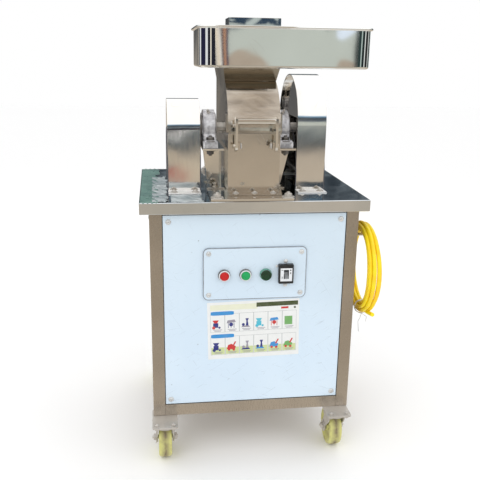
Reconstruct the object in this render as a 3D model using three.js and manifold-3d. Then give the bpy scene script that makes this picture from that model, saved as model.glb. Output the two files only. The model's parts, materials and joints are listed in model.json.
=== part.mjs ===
// Hammer mill on a wheeled stainless cabinet. Millimetres, +Z up, front towards -Y.
// The table is centred on the world's X and Y before the last line moves the origin under the
// middle of the whole object; the wheels stand on Z = 0.
import * as THREE from "three";
import { mergeVertices } from "three/addons/utils/BufferGeometryUtils.js";
import Module from "manifold-3d";

const wasm = await Module();
wasm.setup();

// ---------- driving dimensions ----------
const GAP = 0.3; // between pieces that touch
const SHEET = 2; // light sheet steel
const PLATE = 3; // the mill casing

const TABLE = { width: 550, depth: 470, top: 675, rim: 28, lip: 12 };
const TUBE = 30;
const FRAME = { width: 506, depth: 440, bottom: 117 };
const CASTER = { plateX: 63, plateY: 94, plate: 4, wheelR: 50, wheelWidth: 33, trail: 24 };
const CASTER_PLACES = {
  front_left: { x: -225, y: -233, turn: 0 },
  front_right: { x: 220, y: -225, turn: 0 },
  rear_left: { x: -222, y: 233, turn: Math.PI },
  rear_right: { x: 222, y: 233, turn: Math.PI },
};

const PANEL = { sheet: 1.5, recess: 1.5, gap: 1.5 };
const CONTROL = { x: 0, z: 493.5, width: 252, height: 130, thick: 3, corner: 12 };
const BUTTON = { bezelR: 15, capR: 10.5, bezelOut: 6, capOut: 6, bodyDepth: 34 };
const CONTROLS_Z = 491;
const STOP_X = -76;
const START_X = -24;
const LAMP_X = 26;
const BREAKER = { x: 75, z: 493, width: 36, height: 48, out: 12, slotWidth: 12, slotHeight: 22 };
const BREAKER_REST_DEG = 28; // the lever points down when the breaker is off

const MILL_X = 1; // middle of the casing
const SHAFT = { y: -35, z: 827, r: 12.5, left: -190, right: 182 };
const CASING = { halfWidth: 63.5, front: -160, rear: 137, arcR: 125, throatZ: 945, topZ: 976 };
const BASE = { left: -109, right: 89, front: -231, rear: 180, thick: 6 };
const OUTLET = { halfWidth: 48, front: -105, rear: 35 };
const THROAT = { halfWidth: 52, front: -92, rear: -36 };
const ROTOR = {
  discR: 84, discHalf: 2.5, hubR: 20, pinCircle: 68, pinR: 5, tubeR: 8, hammerReach: 44,
  hammerWidth: 28,
};
const SCREEN = { outerR: 121, thick: 2 };
const LATCH = { x: 47.5, thick: 6, front: -200, rear: -172, bottom: 785, top: 867, barR: 7 };
const LATCH_PIVOT = { y: -186, z: 799 };
const KEEPER = { y: -176, z: 845, pinR: 4 };

const BEARING = { leftX: -100, rightX: 88, width: 36, length: 165, foot: 20, height: 42.9 };
const PEDESTAL = { thick: 5, webFront: -54, webRear: -16 };

const LEFT_COVER = { left: -205, right: -124.6, front: -107, r: 72, topZ: 827, recess: 0, openTo: 0 };
const GUARD = { left: 117, right: 190, front: -110, r: 122, topZ: 838, recess: 12, openTo: 852 };
const COVER_FOOT = 36;
const PULLEY_X = 154;
const BELT = { width: 13, inner: 5, outer: 4, millR: 46, motorR: 74 };
const MOTOR = { z: 237.3, r: 78, left: -118, right: 112 };
const FLYWHEEL = { x: -166, r: 60, width: 34 };

const TRAY = { left: -133, right: 270, front: -195, rear: 45, bottom: 976, top: 1068, corner: 36 };
const TRAY_LIP = { out: 6, drop: 5 };
const FEED_GUARD = { left: -57, right: 68, front: -108, rear: -31, top: 1090 };

const CHUTE = {
  halfWidth: 52, front: -109, rear: 39, knee: 600, outletLow: 330, outletHigh: 440, spout: 238,
};

const CABLE_R = 5;
const COIL = { x: 290.5, y: -156, z: 482, meanR: 106, halfWidth: 14, halfDepth: 14 };
const HOOK = { out: 300, rodR: 4, flange: 16 };
// An elbow gland: it leaves the side sheet at y and z, and its mouth looks down on the coil.
const GLAND = { y: -48, z: 584, x: 290, r: 12, mouth: 563 };
// The cable's route outside its coil: from the gland's mouth to the coil, and its cut end.
const CABLE_LEAD = [
  [290, -48, 566],
  [290, -48, 552],
  [290, -48.5, 540],
  [290, -49, 528],
];
const CABLE_TAIL = [
  [290, -180, 379],
  [292, -214, 377],
  [294, -252, 386],
];

// ---------- finishes ----------
const finish = (color, roughness, metalness) =>
  new THREE.MeshStandardMaterial({ color, roughness, metalness });
const MIRROR_STEEL = finish(0xc9c6c0, 0.12, 1);
const TUBE_STEEL = finish(0xa39b90, 0.35, 1);
const FILMED_STEEL = finish(0xd6e6f3, 0.45, 0);
const CAST_STEEL = finish(0xb6b6ba, 0.6, 1);
const DARK_STEEL = finish(0x4a4a4c, 0.4, 1);
const ZINC_STEEL = finish(0xb9bcc0, 0.35, 1);
const MOTOR_PAINT = finish(0x4f6f86, 0.5, 0);
const RUBBER = finish(0x181818, 0.8, 0);
const WHEEL_NYLON = finish(0xdcd78c, 0.45, 0);
const RED_PLASTIC = finish(0xc8102a, 0.35, 0);
const GREEN_PLASTIC = finish(0x0f9a4a, 0.35, 0);
const DARK_GREEN_LENS = finish(0x0b5a30, 0.2, 0);
const BLACK_PLASTIC = finish(0x1c1c1e, 0.5, 0);
const GREY_PLASTIC = finish(0x8b8e92, 0.5, 0);
const CABLE_YELLOW = finish(0xf6d21c, 0.45, 0);

// ---------- solids ----------
// A closed geometry as a manifold-3d solid.
function solid(geometry) {
  const bare = geometry.clone();
  bare.deleteAttribute("normal");
  bare.deleteAttribute("uv");
  const merged = mergeVertices(bare, 1e-4);
  return new wasm.Manifold(
    new wasm.Mesh({
      numProp: 3,
      vertProperties: merged.attributes.position.array,
      triVerts: new Uint32Array(merged.index.array),
    }),
  );
}

function geometryOf(shape) {
  const mesh = shape.getMesh();
  const geometry = new THREE.BufferGeometry();
  geometry.setAttribute("position", new THREE.BufferAttribute(mesh.vertProperties, 3));
  geometry.setIndex(new THREE.BufferAttribute(mesh.triVerts, 1));
  geometry.computeVertexNormals();
  return geometry;
}

const join = (...shapes) => shapes.reduce((all, shape) => all.add(shape));
const cut = (from, ...shapes) => shapes.reduce((rest, shape) => rest.subtract(shape), from);

function box(x0, x1, y0, y1, z0, z1) {
  const geometry = new THREE.BoxGeometry(x1 - x0, y1 - y0, z1 - z0);
  geometry.translate((x0 + x1) / 2, (y0 + y1) / 2, (z0 + z1) / 2);
  return solid(geometry);
}

// A cylinder along an axis ("x", "y" or "z") from a to b, round the point (p, q) of the two
// other axes in X, Y, Z order.
function rod(axis, radius, a, b, p, q, sides = 14) {
  const geometry = new THREE.CylinderGeometry(radius, radius, b - a, sides);
  const middle = (a + b) / 2;
  if (axis === "x") geometry.rotateZ(Math.PI / 2).translate(middle, p, q);
  if (axis === "y") geometry.translate(p, middle, q);
  if (axis === "z") geometry.rotateX(Math.PI / 2).translate(p, q, middle);
  return solid(geometry);
}

// An outline drawn in Y and Z, as thick as from x0 to x1.
function slabAlongX(shape, x0, x1, curveSegments = 8) {
  const geometry = new THREE.ExtrudeGeometry(shape, {
    depth: x1 - x0,
    bevelEnabled: false,
    curveSegments,
  });
  const turn = new THREE.Matrix4().set(0, 0, 1, x0, 1, 0, 0, 0, 0, 1, 0, 0, 0, 0, 0, 1);
  return solid(geometry.applyMatrix4(turn));
}

// An outline drawn in X and Z, as thick as from y0 to y1.
function slabAlongY(shape, y0, y1, curveSegments = 4) {
  const geometry = new THREE.ExtrudeGeometry(shape, {
    depth: y1 - y0,
    bevelEnabled: false,
    curveSegments,
  });
  return solid(geometry.rotateX(Math.PI / 2).translate(0, y1, 0));
}

// An outline drawn in X and Y, as thick as from z0 to z1.
function slabAlongZ(shape, z0, z1, curveSegments = 4) {
  const geometry = new THREE.ExtrudeGeometry(shape, {
    depth: z1 - z0,
    bevelEnabled: false,
    curveSegments,
  });
  return solid(geometry.translate(0, 0, z0));
}

function polygon(points) {
  return new THREE.Shape(points.map(([a, b]) => new THREE.Vector2(a, b)));
}

function roundedRectangle(a0, a1, b0, b1, r) {
  const shape = new THREE.Shape();
  shape.moveTo(a0 + r, b0);
  shape.lineTo(a1 - r, b0);
  shape.absarc(a1 - r, b0 + r, r, -Math.PI / 2, 0);
  shape.lineTo(a1, b1 - r);
  shape.absarc(a1 - r, b1 - r, r, 0, Math.PI / 2);
  shape.lineTo(a0 + r, b1);
  shape.absarc(a0 + r, b1 - r, r, Math.PI / 2, Math.PI);
  shape.lineTo(a0, b0 + r);
  shape.absarc(a0 + r, b0 + r, r, Math.PI, 1.5 * Math.PI);
  return shape;
}

// A ring turned round the X axis through (y, z): its section is a list of [radius, x].
function turnedAboutX(section, y, z, sides) {
  const points = section.map(([r, x]) => new THREE.Vector2(r, x));
  const geometry = new THREE.LatheGeometry([...points, points[0]], sides);
  return solid(geometry.rotateZ(-Math.PI / 2).translate(0, y, z));
}

// A frustum with a rectangle below and another above, each [x0, x1, y0, y1].
function taperedBox(low, z0, high, z1) {
  const corners = ([x0, x1, y0, y1], z) => [x0, y0, z, x1, y0, z, x1, y1, z, x0, y1, z];
  const geometry = new THREE.BufferGeometry();
  const position = new Float32Array([...corners(low, z0), ...corners(high, z1)]);
  geometry.setAttribute("position", new THREE.BufferAttribute(position, 3));
  const quads = [
    [0, 3, 2, 1],
    [4, 5, 6, 7],
    [0, 1, 5, 4],
    [1, 2, 6, 5],
    [2, 3, 7, 6],
    [3, 0, 4, 7],
  ];
  geometry.setIndex(quads.flatMap(([a, b, c, d]) => [a, b, c, a, c, d]));
  return solid(geometry);
}

function sweptTube(points, radius, steps, sides) {
  const path = new THREE.CatmullRomCurve3(points.map((p) => new THREE.Vector3(...p)));
  const section = new THREE.Shape();
  section.absarc(0, 0, radius, 0, 2 * Math.PI);
  const geometry = new THREE.ExtrudeGeometry(section, {
    steps,
    extrudePath: path,
    curveSegments: sides,
    bevelEnabled: false,
  });
  return solid(geometry);
}

function node(name, shape, material, parent) {
  const mesh = new THREE.Mesh(geometryOf(shape), material);
  mesh.name = name;
  parent.add(mesh);
  return mesh;
}

// ---------- cabinet frame, table and panels ----------
function addFrame(object) {
  const { width, depth, bottom } = FRAME;
  const x = width / 2;
  const y = depth / 2;
  const legTop = TABLE.top - SHEET - GAP;
  const wall = 1.5;
  const legs = {
    leg_front_left: [-x, -y],
    leg_front_right: [x - TUBE, -y],
    leg_rear_left: [-x, y - TUBE],
    leg_rear_right: [x - TUBE, y - TUBE],
  };
  for (const [name, [x0, y0]] of Object.entries(legs)) {
    const outer = box(x0, x0 + TUBE, y0, y0 + TUBE, bottom, legTop);
    const bore = box(
      x0 + wall, x0 + TUBE - wall, y0 + wall, y0 + TUBE - wall, bottom + TUBE, legTop + 1,
    );
    node(name, cut(outer, bore), TUBE_STEEL, object);
  }

  // Four rails joined at the legs' inner corners, and for the bottom one the motor's bearers.
  const ringOfRails = (z0) => {
    const inX = x - TUBE;
    const inY = y - TUBE;
    const outer = box(-x, x, -y, y, z0, z0 + TUBE);
    const inner = box(-inX, inX, -inY, inY, z0 - 1, z0 + TUBE + 1);
    const corners = [-1, 1].flatMap((i) =>
      [-1, 1].map((j) => {
        const px = [i * (inX - GAP), i * (x + 1)].sort((a, b) => a - b);
        const py = [j * (inY - GAP), j * (y + 1)].sort((a, b) => a - b);
        return box(px[0], px[1], py[0], py[1], z0 - 1, z0 + TUBE + 1);
      }),
    );
    const brace = 14; // gusset that ties two rails behind each leg
    const gussets = [-1, 1].flatMap((i) =>
      [-1, 1].map((j) =>
        slabAlongZ(
          polygon(
            i * j > 0
              ? [[i * (inX - 4), j * (inY - brace)], [i * (inX + 4), j * (inY - brace)],
                [i * (inX - brace), j * (inY + 4)], [i * (inX - brace), j * (inY - 4)]]
              : [[i * (inX - brace), j * (inY - 4)], [i * (inX - brace), j * (inY + 4)],
                [i * (inX + 4), j * (inY - brace)], [i * (inX - 4), j * (inY - brace)]],
          ),
          z0 + 8,
          z0 + TUBE - 8,
        ),
      ),
    );
    const bores = [-1, 1].flatMap((side) => {
      const away = (half) => {
        const edges = [side * (half - wall), side * (half - TUBE + wall)];
        return edges.sort((a, b) => a - b);
      };
      const [y0, y1] = away(y);
      const [x0, x1] = away(x);
      return [
        box(-x, x, y0, y1, z0 + wall, z0 + TUBE - wall),
        box(x0, x1, -y, y, z0 + wall, z0 + TUBE - wall),
      ];
    });
    return join(cut(outer, inner, ...corners, ...bores), ...gussets);
  };

  const floorSheet = box(
    -x + TUBE - 6, x - TUBE + 6, -y + TUBE - GAP - 1, y - TUBE + GAP + 1, bottom + 4, bottom + 6,
  );
  const cornerPosts = Object.values(legs).map(([x0, y0]) =>
    box(x0 - GAP, x0 + TUBE + GAP, y0 - GAP, y0 + TUBE + GAP, bottom - 1, bottom + TUBE + 1),
  );
  const bearers = [-70, 70].map((bx) =>
    box(bx - 15, bx + 15, -y + TUBE - 1, y - TUBE + 1, bottom + 2, bottom + TUBE),
  );
  const bottomFrame = cut(join(ringOfRails(bottom), floorSheet, ...bearers), ...cornerPosts);
  node("bottom_frame", bottomFrame, TUBE_STEEL, object);
  node("top_frame", ringOfRails(legTop - TUBE), TUBE_STEEL, object);
}

function addTable(object) {
  const x = TABLE.width / 2;
  const y = TABLE.depth / 2;
  const under = TABLE.top - TABLE.rim;
  const pan = cut(
    box(-x, x, -y, y, under, TABLE.top),
    box(-x + SHEET, x - SHEET, -y + SHEET, y - SHEET, under + SHEET, TABLE.top - SHEET),
    box(-x + TABLE.lip, x - TABLE.lip, -y + TABLE.lip, y - TABLE.lip, under - 1, under + SHEET + 1),
  );
  const outlet = box(
    MILL_X - OUTLET.halfWidth, MILL_X + OUTLET.halfWidth, OUTLET.front, OUTLET.rear,
    TABLE.top - 10, TABLE.top + 10,
  );
  const beltSlot = box(
    PULLEY_X - 24, PULLEY_X + 24, SHAFT.y - BELT.motorR - 12, SHAFT.y + BELT.motorR + 12,
    TABLE.top - 10, TABLE.top + 10,
  );
  node("table_top", cut(pan, outlet, beltSlot), MIRROR_STEEL, object);
}

function addPanels(object) {
  const x = FRAME.width / 2 - TUBE - PANEL.gap;
  const y = FRAME.depth / 2 - TUBE - PANEL.gap;
  const low = FRAME.bottom + TUBE + PANEL.gap;
  const high = TABLE.top - SHEET - GAP - TUBE - PANEL.gap;
  const face = FRAME.depth / 2 - PANEL.recess;
  const side = FRAME.width / 2 - PANEL.recess;
  const returnDepth = 12; // the panel's edges are folded in by this much
  const controlHoles = [STOP_X, START_X, LAMP_X].map((hx) =>
    rod("y", BUTTON.capR + 2, -face - 10, -face + 40, hx, CONTROLS_Z),
  );
  const breakerHole = box(
    BREAKER.x - BREAKER.width / 2 - 1, BREAKER.x + BREAKER.width / 2 + 1, -face - 10, -face + 40,
    BREAKER.z - BREAKER.height / 2 - 1, BREAKER.z + BREAKER.height / 2 + 1,
  );
  const front = cut(
    box(-x, x, -face, -face + returnDepth, low, high),
    box(
      -x + PANEL.sheet, x - PANEL.sheet, -face + PANEL.sheet, -face + returnDepth + 1,
      low + PANEL.sheet, high - PANEL.sheet,
    ),
  );
  node("front_panel", cut(front, ...controlHoles, breakerHole), FILMED_STEEL, object);

  const rear = cut(
    box(-x, x, face - returnDepth, face, low, high),
    box(
      -x + PANEL.sheet, x - PANEL.sheet, face - returnDepth - 1, face - PANEL.sheet,
      low + PANEL.sheet, high - PANEL.sheet,
    ),
  );
  const chuteHole = box(
    MILL_X - CHUTE.halfWidth - 2, MILL_X + CHUTE.halfWidth + 2, face - 30, face + 30,
    CHUTE.outletLow - 2, CHUTE.outletHigh + 34,
  );
  node("rear_panel", cut(rear, chuteHole), TUBE_STEEL, object);

  const glandHole = rod("x", 8.5, side - 20, side + 20, GLAND.y, GLAND.z);
  for (const [name, sign] of [["left_panel", -1], ["right_panel", 1]]) {
    const outer = [sign * side, sign * (side - returnDepth)].sort((a, b) => a - b);
    const inner = [sign * (side - PANEL.sheet), sign * (side - returnDepth - 1)];
    inner.sort((a, b) => a - b);
    const sheet = cut(
      box(outer[0], outer[1], -y, y, low, high),
      box(
        inner[0], inner[1], -y + PANEL.sheet, y - PANEL.sheet, low + PANEL.sheet,
        high - PANEL.sheet,
      ),
    );
    node(name, sign > 0 ? cut(sheet, glandHole) : sheet, TUBE_STEEL, object);
  }
}

// ---------- control plate ----------
function addControls(object) {
  const panelFace = -FRAME.depth / 2 + PANEL.recess;
  const back = panelFace - GAP;
  const face = back - CONTROL.thick;
  const plate = slabAlongY(
    roundedRectangle(
      CONTROL.x - CONTROL.width / 2, CONTROL.x + CONTROL.width / 2,
      CONTROL.z - CONTROL.height / 2, CONTROL.z + CONTROL.height / 2, CONTROL.corner,
    ),
    face,
    back,
  );
  const holes = [STOP_X, START_X, LAMP_X].map((x) =>
    rod("y", BUTTON.capR + 1, face - 5, back + 5, x, CONTROLS_Z),
  );
  const breakerHole = box(
    BREAKER.x - BREAKER.width / 2 + 2, BREAKER.x + BREAKER.width / 2 - 2, face - 5, back + 5,
    BREAKER.z - BREAKER.height / 2 + 2, BREAKER.z + BREAKER.height / 2 - 2,
  );
  node("control_plate", cut(plate, ...holes, breakerHole), FILMED_STEEL, object);

  // A push button: a bezel with its contact block behind, and a cap that slides in the bezel.
  const bezelFace = face - GAP - BUTTON.bezelOut;
  const inner = BUTTON.capR - 0.6;
  for (const [name, x, cap] of [["stop", STOP_X, RED_PLASTIC], ["start", START_X, GREEN_PLASTIC]]) {
    const bezel = join(
      rod("y", BUTTON.bezelR, bezelFace, face - GAP, x, CONTROLS_Z, 20),
      rod("y", BUTTON.capR + 0.7, face - GAP - 1, face + BUTTON.bodyDepth, x, CONTROLS_Z),
    );
    const bore = rod("y", inner, bezelFace - 1, face + 18, x, CONTROLS_Z);
    node(name + "_button_bezel", cut(bezel, bore), ZINC_STEEL, object);
    const capFront = bezelFace - BUTTON.capOut;
    const button = rod("y", inner - 0.5, capFront, face + 10, x, CONTROLS_Z);
    node(name + "_button_cap", button, cap, object);
  }

  const lamp = join(
    rod("y", BUTTON.bezelR, face - GAP - 3, face - GAP, LAMP_X, CONTROLS_Z, 20),
    rod("y", BUTTON.capR, face - GAP - 9, face - GAP - 2, LAMP_X, CONTROLS_Z),
    rod("y", BUTTON.capR, face - GAP - 2, face + BUTTON.bodyDepth, LAMP_X, CONTROLS_Z),
  );
  node("pilot_lamp", lamp, DARK_GREEN_LENS, object);

  // A small breaker: body with a slot where its lever rocks on a pin.
  const { x: bx, z: bz, width, height, out, slotWidth, slotHeight } = BREAKER;
  const bezelBack = face - GAP;
  const body = join(
    box(bx - width / 2, bx + width / 2, bezelBack - out, bezelBack, bz - height / 2, bz + height / 2),
    box(
      bx - width / 2 + 3, bx + width / 2 - 3, bezelBack - 1, face + 46, bz - height / 2 + 3,
      bz + height / 2 - 3,
    ),
  );
  const slot = box(
    bx - slotWidth / 2, bx + slotWidth / 2, bezelBack - out - 1, bezelBack + 14,
    bz - slotHeight / 2, bz + slotHeight / 2,
  );
  node("breaker_body", cut(body, slot), BLACK_PLASTIC, object);
  const lever = join(
    rod("x", 5, bx - slotWidth / 2 + 0.6, bx + slotWidth / 2 - 0.6, bezelBack - 2, bz, 16),
    box(
      bx - slotWidth / 2 + 1.5, bx + slotWidth / 2 - 1.5, bezelBack - out - 7, bezelBack - 3,
      bz - 2.2, bz + 2.2,
    ),
  );
  const tilted = lever
    .translate([0, 2 - bezelBack, -bz])
    .rotate([BREAKER_REST_DEG, 0, 0])
    .translate([0, bezelBack - 2, bz]);
  node("breaker_lever", tilted, GREY_PLASTIC, object);
}

// ---------- casters ----------
function addCaster(object, name, place) {
  const group = new THREE.Group();
  group.position.set(place.x, place.y, 0);
  group.rotation.z = place.turn;
  object.add(group);
  const { plateX, plateY, plate, wheelR, wheelWidth, trail } = CASTER;
  const top = FRAME.bottom - GAP;
  const under = top - plate;

  const flange = slabAlongZ(
    roundedRectangle(-plateX / 2, plateX / 2, -plateY / 2, plateY / 2, 7), under, top,
  );
  const raceway = solid(
    new THREE.CylinderGeometry(30, 26, 7, 16).rotateX(Math.PI / 2).translate(0, 0, under - 3),
  );
  node("caster_plate_" + name, join(flange, raceway), ZINC_STEEL, group);

  // The fork turns under the raceway and carries the axle bolt.
  const forkTop = under - 7 - 0.5;
  const legIn = wheelWidth / 2 + 2.2;
  const legOut = legIn + 3;
  const eye = 13;
  const legShape = polygon([
    [-20, forkTop], [20, forkTop], [22, forkTop - 18], [trail + eye, wheelR + 6],
    [trail + eye, wheelR - 7], [trail + 7, wheelR - eye], [trail - 7, wheelR - eye],
    [trail - eye, wheelR - 7], [trail - eye, wheelR + 6],
  ]);
  const crown = rod("z", 25, forkTop - 4, forkTop, 0, 0, 16);
  const boltLeft = -(legOut + 5);
  const boltRight = legOut + 9;
  const fork = join(
    crown,
    slabAlongX(legShape, legIn, legOut),
    slabAlongX(legShape, -legOut, -legIn),
    rod("x", 5, boltLeft, boltRight, trail, wheelR, 10),
    rod("x", 9, legOut, legOut + 8, trail, wheelR, 6),
    rod("x", 9, -(legOut + 5), -legOut, trail, wheelR, 6),
  );
  node("caster_fork_" + name, fork, ZINC_STEEL, group);

  const half = wheelWidth / 2;
  const wheel = turnedAboutX(
    [
      [5.8, -half], [wheelR - 5, -half], [wheelR - 1.2, -half + 5], [wheelR, -half + 11],
      [wheelR, half - 11], [wheelR - 1.2, half - 5], [wheelR - 5, half], [5.8, half],
    ],
    trail,
    wheelR,
    24,
  );
  node("caster_wheel_" + name, wheel, WHEEL_NYLON, group);
}

// ---------- mill casing ----------
function addCasing(object) {
  const group = new THREE.Group();
  group.position.x = MILL_X;
  object.add(group);
  const { halfWidth, front, rear, arcR, throatZ, topZ } = CASING;
  const floor = TABLE.top + GAP + BASE.thick + GAP;
  const split = SHAFT.z;

  const basePlate = cut(
    box(
      BASE.left - MILL_X, BASE.right - MILL_X, BASE.front, BASE.rear, TABLE.top + GAP,
      TABLE.top + GAP + BASE.thick,
    ),
    box(
      -OUTLET.halfWidth, OUTLET.halfWidth, OUTLET.front, OUTLET.rear, TABLE.top - 5, floor + 5,
    ),
  );
  node("mill_base_plate", basePlate, MIRROR_STEEL, group);

  // Lower casing: four walls, feet front and rear, and a flange at the split.
  const footReach = 36;
  const flange = 12;
  const walls = join(
    box(-halfWidth, halfWidth, front, rear, floor, split - GAP),
    box(-halfWidth, halfWidth, front - footReach, rear + footReach, floor, floor + PLATE),
    box(-halfWidth, halfWidth, front - flange, front + 1, split - GAP - PLATE, split - GAP),
  );
  const lug = (side, y0, z0, z1, pinY, pinZ, pinR) => {
    const x = (v) => side * v;
    const span = (a, b) => [x(a), x(b)].sort((m, n) => m - n);
    const arm = span(LATCH.x - 9, LATCH.x - LATCH.thick / 2 - GAP);
    const pin = span(LATCH.x - 9, LATCH.x + LATCH.thick / 2 + 4);
    return join(
      box(arm[0], arm[1], y0, front + 1, z0, z1),
      rod("x", pinR, pin[0], pin[1], pinY, pinZ, 12),
    );
  };
  const lowerLugs = [-1, 1].map((side) =>
    lug(side, LATCH_PIVOT.y - 9, LATCH_PIVOT.z - 9, LATCH_PIVOT.z + 9, LATCH_PIVOT.y,
      LATCH_PIVOT.z, 4),
  );
  const shaftHole = rod("x", SHAFT.r + 4, -halfWidth - 5, halfWidth + 5, SHAFT.y, SHAFT.z, 16);
  const inside = box(
    -halfWidth + PLATE, halfWidth - PLATE, front + PLATE, rear - PLATE, floor - 1, split + 1,
  );
  const hingeZ = split - 8;
  const hingeY = rear + 12;
  const hingeStrap = join(
    box(-14, 14, rear - 1, hingeY, hingeZ - 6, hingeZ + 6),
    rod("x", 6, -14, 14, hingeY, hingeZ),
  );
  const lower = join(cut(walls, inside), ...lowerLugs, hingeStrap);
  node("lower_housing", cut(lower, shaftHole), MIRROR_STEEL, group);

  // Upper casing: an arc round the shaft in front, a straight back, and a throat that flares
  // out under the tray.
  const hoodOutline = (inset) => {
    const r = arcR - inset;
    const top = throatZ - inset;
    const bottom = inset > 0 ? split - 5 : split + GAP;
    const rise = Math.asin((top - SHAFT.z) / r);
    const dip = Math.asin((bottom - SHAFT.z) / r);
    const shape = new THREE.Shape();
    shape.moveTo(rear - inset, bottom);
    shape.lineTo(rear - inset, top);
    shape.lineTo(SHAFT.y - r * Math.cos(rise), top);
    shape.absarc(SHAFT.y, SHAFT.z, r, Math.PI - rise, Math.PI - dip);
    return shape;
  };
  const hoodShell = cut(
    slabAlongX(hoodOutline(0), -halfWidth, halfWidth, 12),
    slabAlongX(hoodOutline(PLATE), -halfWidth + PLATE, halfWidth - PLATE, 12),
  );
  const throatTop = topZ - GAP;
  const flare = 6;
  const throatFront = SHAFT.y - 46;
  const collar = cut(
    taperedBox(
      [-halfWidth, halfWidth, throatFront, rear], throatZ - 1,
      [-halfWidth - flare, halfWidth + flare, THROAT.front - 8, rear], throatTop,
    ),
    taperedBox(
      [-THROAT.halfWidth, THROAT.halfWidth, throatFront + PLATE, THROAT.rear], throatZ - 6,
      [-THROAT.halfWidth, THROAT.halfWidth, THROAT.front, THROAT.rear], throatTop + 1,
    ),
    box(
      -halfWidth + 2, halfWidth - 2, THROAT.rear + PLATE, rear - PLATE, throatZ + PLATE,
      throatTop - PLATE,
    ),
  );
  const vent = box(-20, 20, THROAT.rear + 20, rear - 20, throatZ - 10, throatTop - PLATE - 1);
  const throatBore = box(
    -THROAT.halfWidth, THROAT.halfWidth, throatFront + PLATE, THROAT.rear, throatZ - 10,
    throatZ + 1,
  );
  const upperLugs = [-1, 1].map((side) =>
    lug(side, KEEPER.y - 6, KEEPER.z - 7, KEEPER.z + 7, KEEPER.y, KEEPER.z, KEEPER.pinR),
  );
  const frontFlange = box(
    -halfWidth, halfWidth, front - flange, front + 2, split + GAP, split + GAP + PLATE,
  );
  const straps = [-1, 1].map((side) => {
    const x = [side * halfWidth, side * (halfWidth + 4)].sort((a, b) => a - b);
    return box(x[0], x[1], front + 4, front + 34, split + GAP, split + 44);
  });
  const knuckles = [-1, 1].map((side) => {
    const x = [side * 14.6, side * 30].sort((a, b) => a - b);
    return join(
      rod("x", 6, x[0], x[1], hingeY, hingeZ),
      box(x[0], x[1], rear + 1, hingeY + 6, hingeZ, split + 8),
      box(x[0], x[1], rear - 1, hingeY + 6, split + 2, split + 20),
    );
  });
  const inner = slabAlongX(hoodOutline(PLATE), -halfWidth + PLATE, halfWidth - PLATE, 12);
  const hood = cut(
    join(
      cut(join(hoodShell, frontFlange, ...upperLugs), inner),
      collar,
      ...straps,
      ...knuckles,
    ),
    throatBore,
    vent,
    shaftHole,
  );
  node("hood", hood, MIRROR_STEEL, group);

  const screen = turnedAboutX(
    [
      [SCREEN.outerR - SCREEN.thick, -halfWidth + PLATE + 0.5],
      [SCREEN.outerR, -halfWidth + PLATE + 0.5],
      [SCREEN.outerR, halfWidth - PLATE - 0.5],
      [SCREEN.outerR - SCREEN.thick, halfWidth - PLATE - 0.5],
    ],
    SHAFT.y,
    SHAFT.z,
    36,
  );
  const aboveSplit = box(-halfWidth, halfWidth, -300, 300, split - 3, split + 300);
  node("screen", cut(screen, aboveSplit), ZINC_STEEL, group);

  addLatch(group);
}

function addLatch(group) {
  const { x, thick, front, rear, bottom, top, barR } = LATCH;
  const r = (rear - front) / 2;
  const outline = new THREE.Shape();
  outline.moveTo(rear, bottom + r);
  outline.lineTo(rear, KEEPER.z - KEEPER.pinR - 0.5);
  outline.lineTo(KEEPER.y - KEEPER.pinR - 2.5, KEEPER.z - KEEPER.pinR - 0.5);
  outline.lineTo(KEEPER.y - KEEPER.pinR - 2.5, top);
  outline.lineTo(front + 4, top);
  outline.lineTo(front, top - 4);
  outline.lineTo(front, bottom + r);
  outline.absarc((front + rear) / 2, bottom + r, r, Math.PI, 2 * Math.PI);
  const barY = front + 10;
  const barZ = top - 11;
  const plates = [-1, 1].map((side) => {
    const span = [side * (x - thick / 2), side * (x + thick / 2)].sort((a, b) => a - b);
    return slabAlongX(outline, span[0], span[1], 8);
  });
  const pinHole = rod("x", 4.5, -x - 20, x + 20, LATCH_PIVOT.y, LATCH_PIVOT.z, 12);
  const bar = rod("x", barR, -x, x, barY, barZ, 12);
  node("latch_bail", cut(join(...plates, bar), pinHole), MIRROR_STEEL, group);
}

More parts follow.
